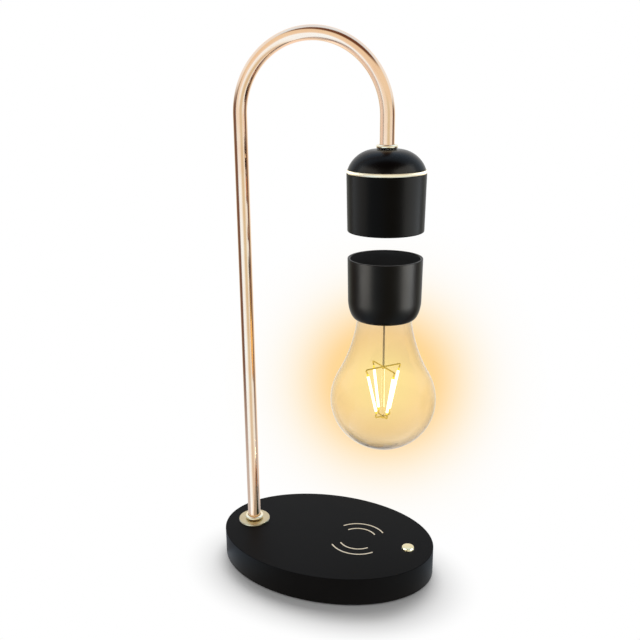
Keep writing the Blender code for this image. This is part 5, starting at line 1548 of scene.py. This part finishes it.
# %% [markdown]
# The lit bulb's glow on the air round it is painted: a thin round shell about the bulb takes
# out some blue and a little green of what lies behind it, more of the green further out, as a
# painted warm halo. How much depends on how near the middle a ray passes, and a sphere's
# Facing value tells just that. Only its far side counts, so that it colours the background and
# not the bulb's cap, and it is only seen by the eye and through glass. It belongs to the
# stage, but it rides with the bulb's hover, because the painted halo follows the light.

# %% Painted warm halo
HALO_RADIUS = 115 * MM
HALO_SPREAD = 33 * MM
HALO_DEPTH, HALO_LIMIT, LIMIT_EASE = 2.2, 1.18, 0.3
GREEN_SHARE, YELLOW_CORE, CORE_SPREAD = 0.37, 0.17, 22 * MM
halo_centre = (head_middle.x, head_middle.y, 157 * MM)
# The shell that carries the painted halo of light round the bulb.
halo_shell = start(
    "painted_halo", bpy.ops.mesh.primitive_uv_sphere_add, segments=128, ring_count=64,
    radius=HALO_RADIUS, location=halo_centre,
)
bpy.ops.object.shade_smooth()
halo_finish, tree, shader = new_finish("halo_finish")
tree.nodes.remove(shader)
facing = add_node(tree, "ShaderNodeLayerWeight", Blend=0.5).outputs["Facing"]
cosine = calc(tree, "SUBTRACT", 1.0, facing)
passing = calc(tree, "SUBTRACT", 1.0, calc(tree, "MULTIPLY", cosine, cosine))


def times(first, second):
    """The product of two numbers or sockets."""
    return calc(tree, "MULTIPLY", first, second)


def fall_off(spread):
    """A bell over the distance from the middle at which the ray passes."""
    return calc(tree, "EXPONENT", times(passing, -HALO_RADIUS ** 2 / (2 * spread ** 2)))


depth = calc(tree, "SMOOTH_MIN", times(fall_off(HALO_SPREAD), HALO_DEPTH), HALO_LIMIT)
depth.node.inputs[2].default_value = LIMIT_EASE
far_side = add_node(tree, "ShaderNodeNewGeometry").outputs["Backfacing"]
depth = times(depth, far_side)
green_share = calc(tree, "SUBTRACT", GREEN_SHARE, times(fall_off(CORE_SPREAD), YELLOW_CORE))
left_blue = calc(tree, "EXPONENT", times(depth, -1.0))
left_green = calc(tree, "EXPONENT", times(times(depth, green_share), -1.0))
tint = add_node(tree, "ShaderNodeCombineColor", Red=1.0, Green=left_green, Blue=left_blue)
painted_halo_bsdf = add_node(tree, "ShaderNodeBsdfTransparent", Color=tint.outputs["Color"])
feed(tree, tree.nodes["Material Output"].inputs["Surface"], painted_halo_bsdf.outputs["BSDF"])
halo_shell.data.materials.append(halo_finish)
halo_shell.visible_shadow = False
halo_shell.visible_diffuse = False
halo_shell.visible_glossy = False
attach(halo_shell, "hover_core")
print("haze round", [round(part / MM) for part in halo_centre])

# %% [markdown]
# ## Done
#
# The colours are shown as they are written, with the Standard view. The size of the solids is
# printed once more at the end.

# %% Finish
bpy.context.scene.view_settings.view_transform = "Standard"
hands_off()
print("solids", [round(side / MM, 2) for side in solid_box[1] - solid_box[0]])
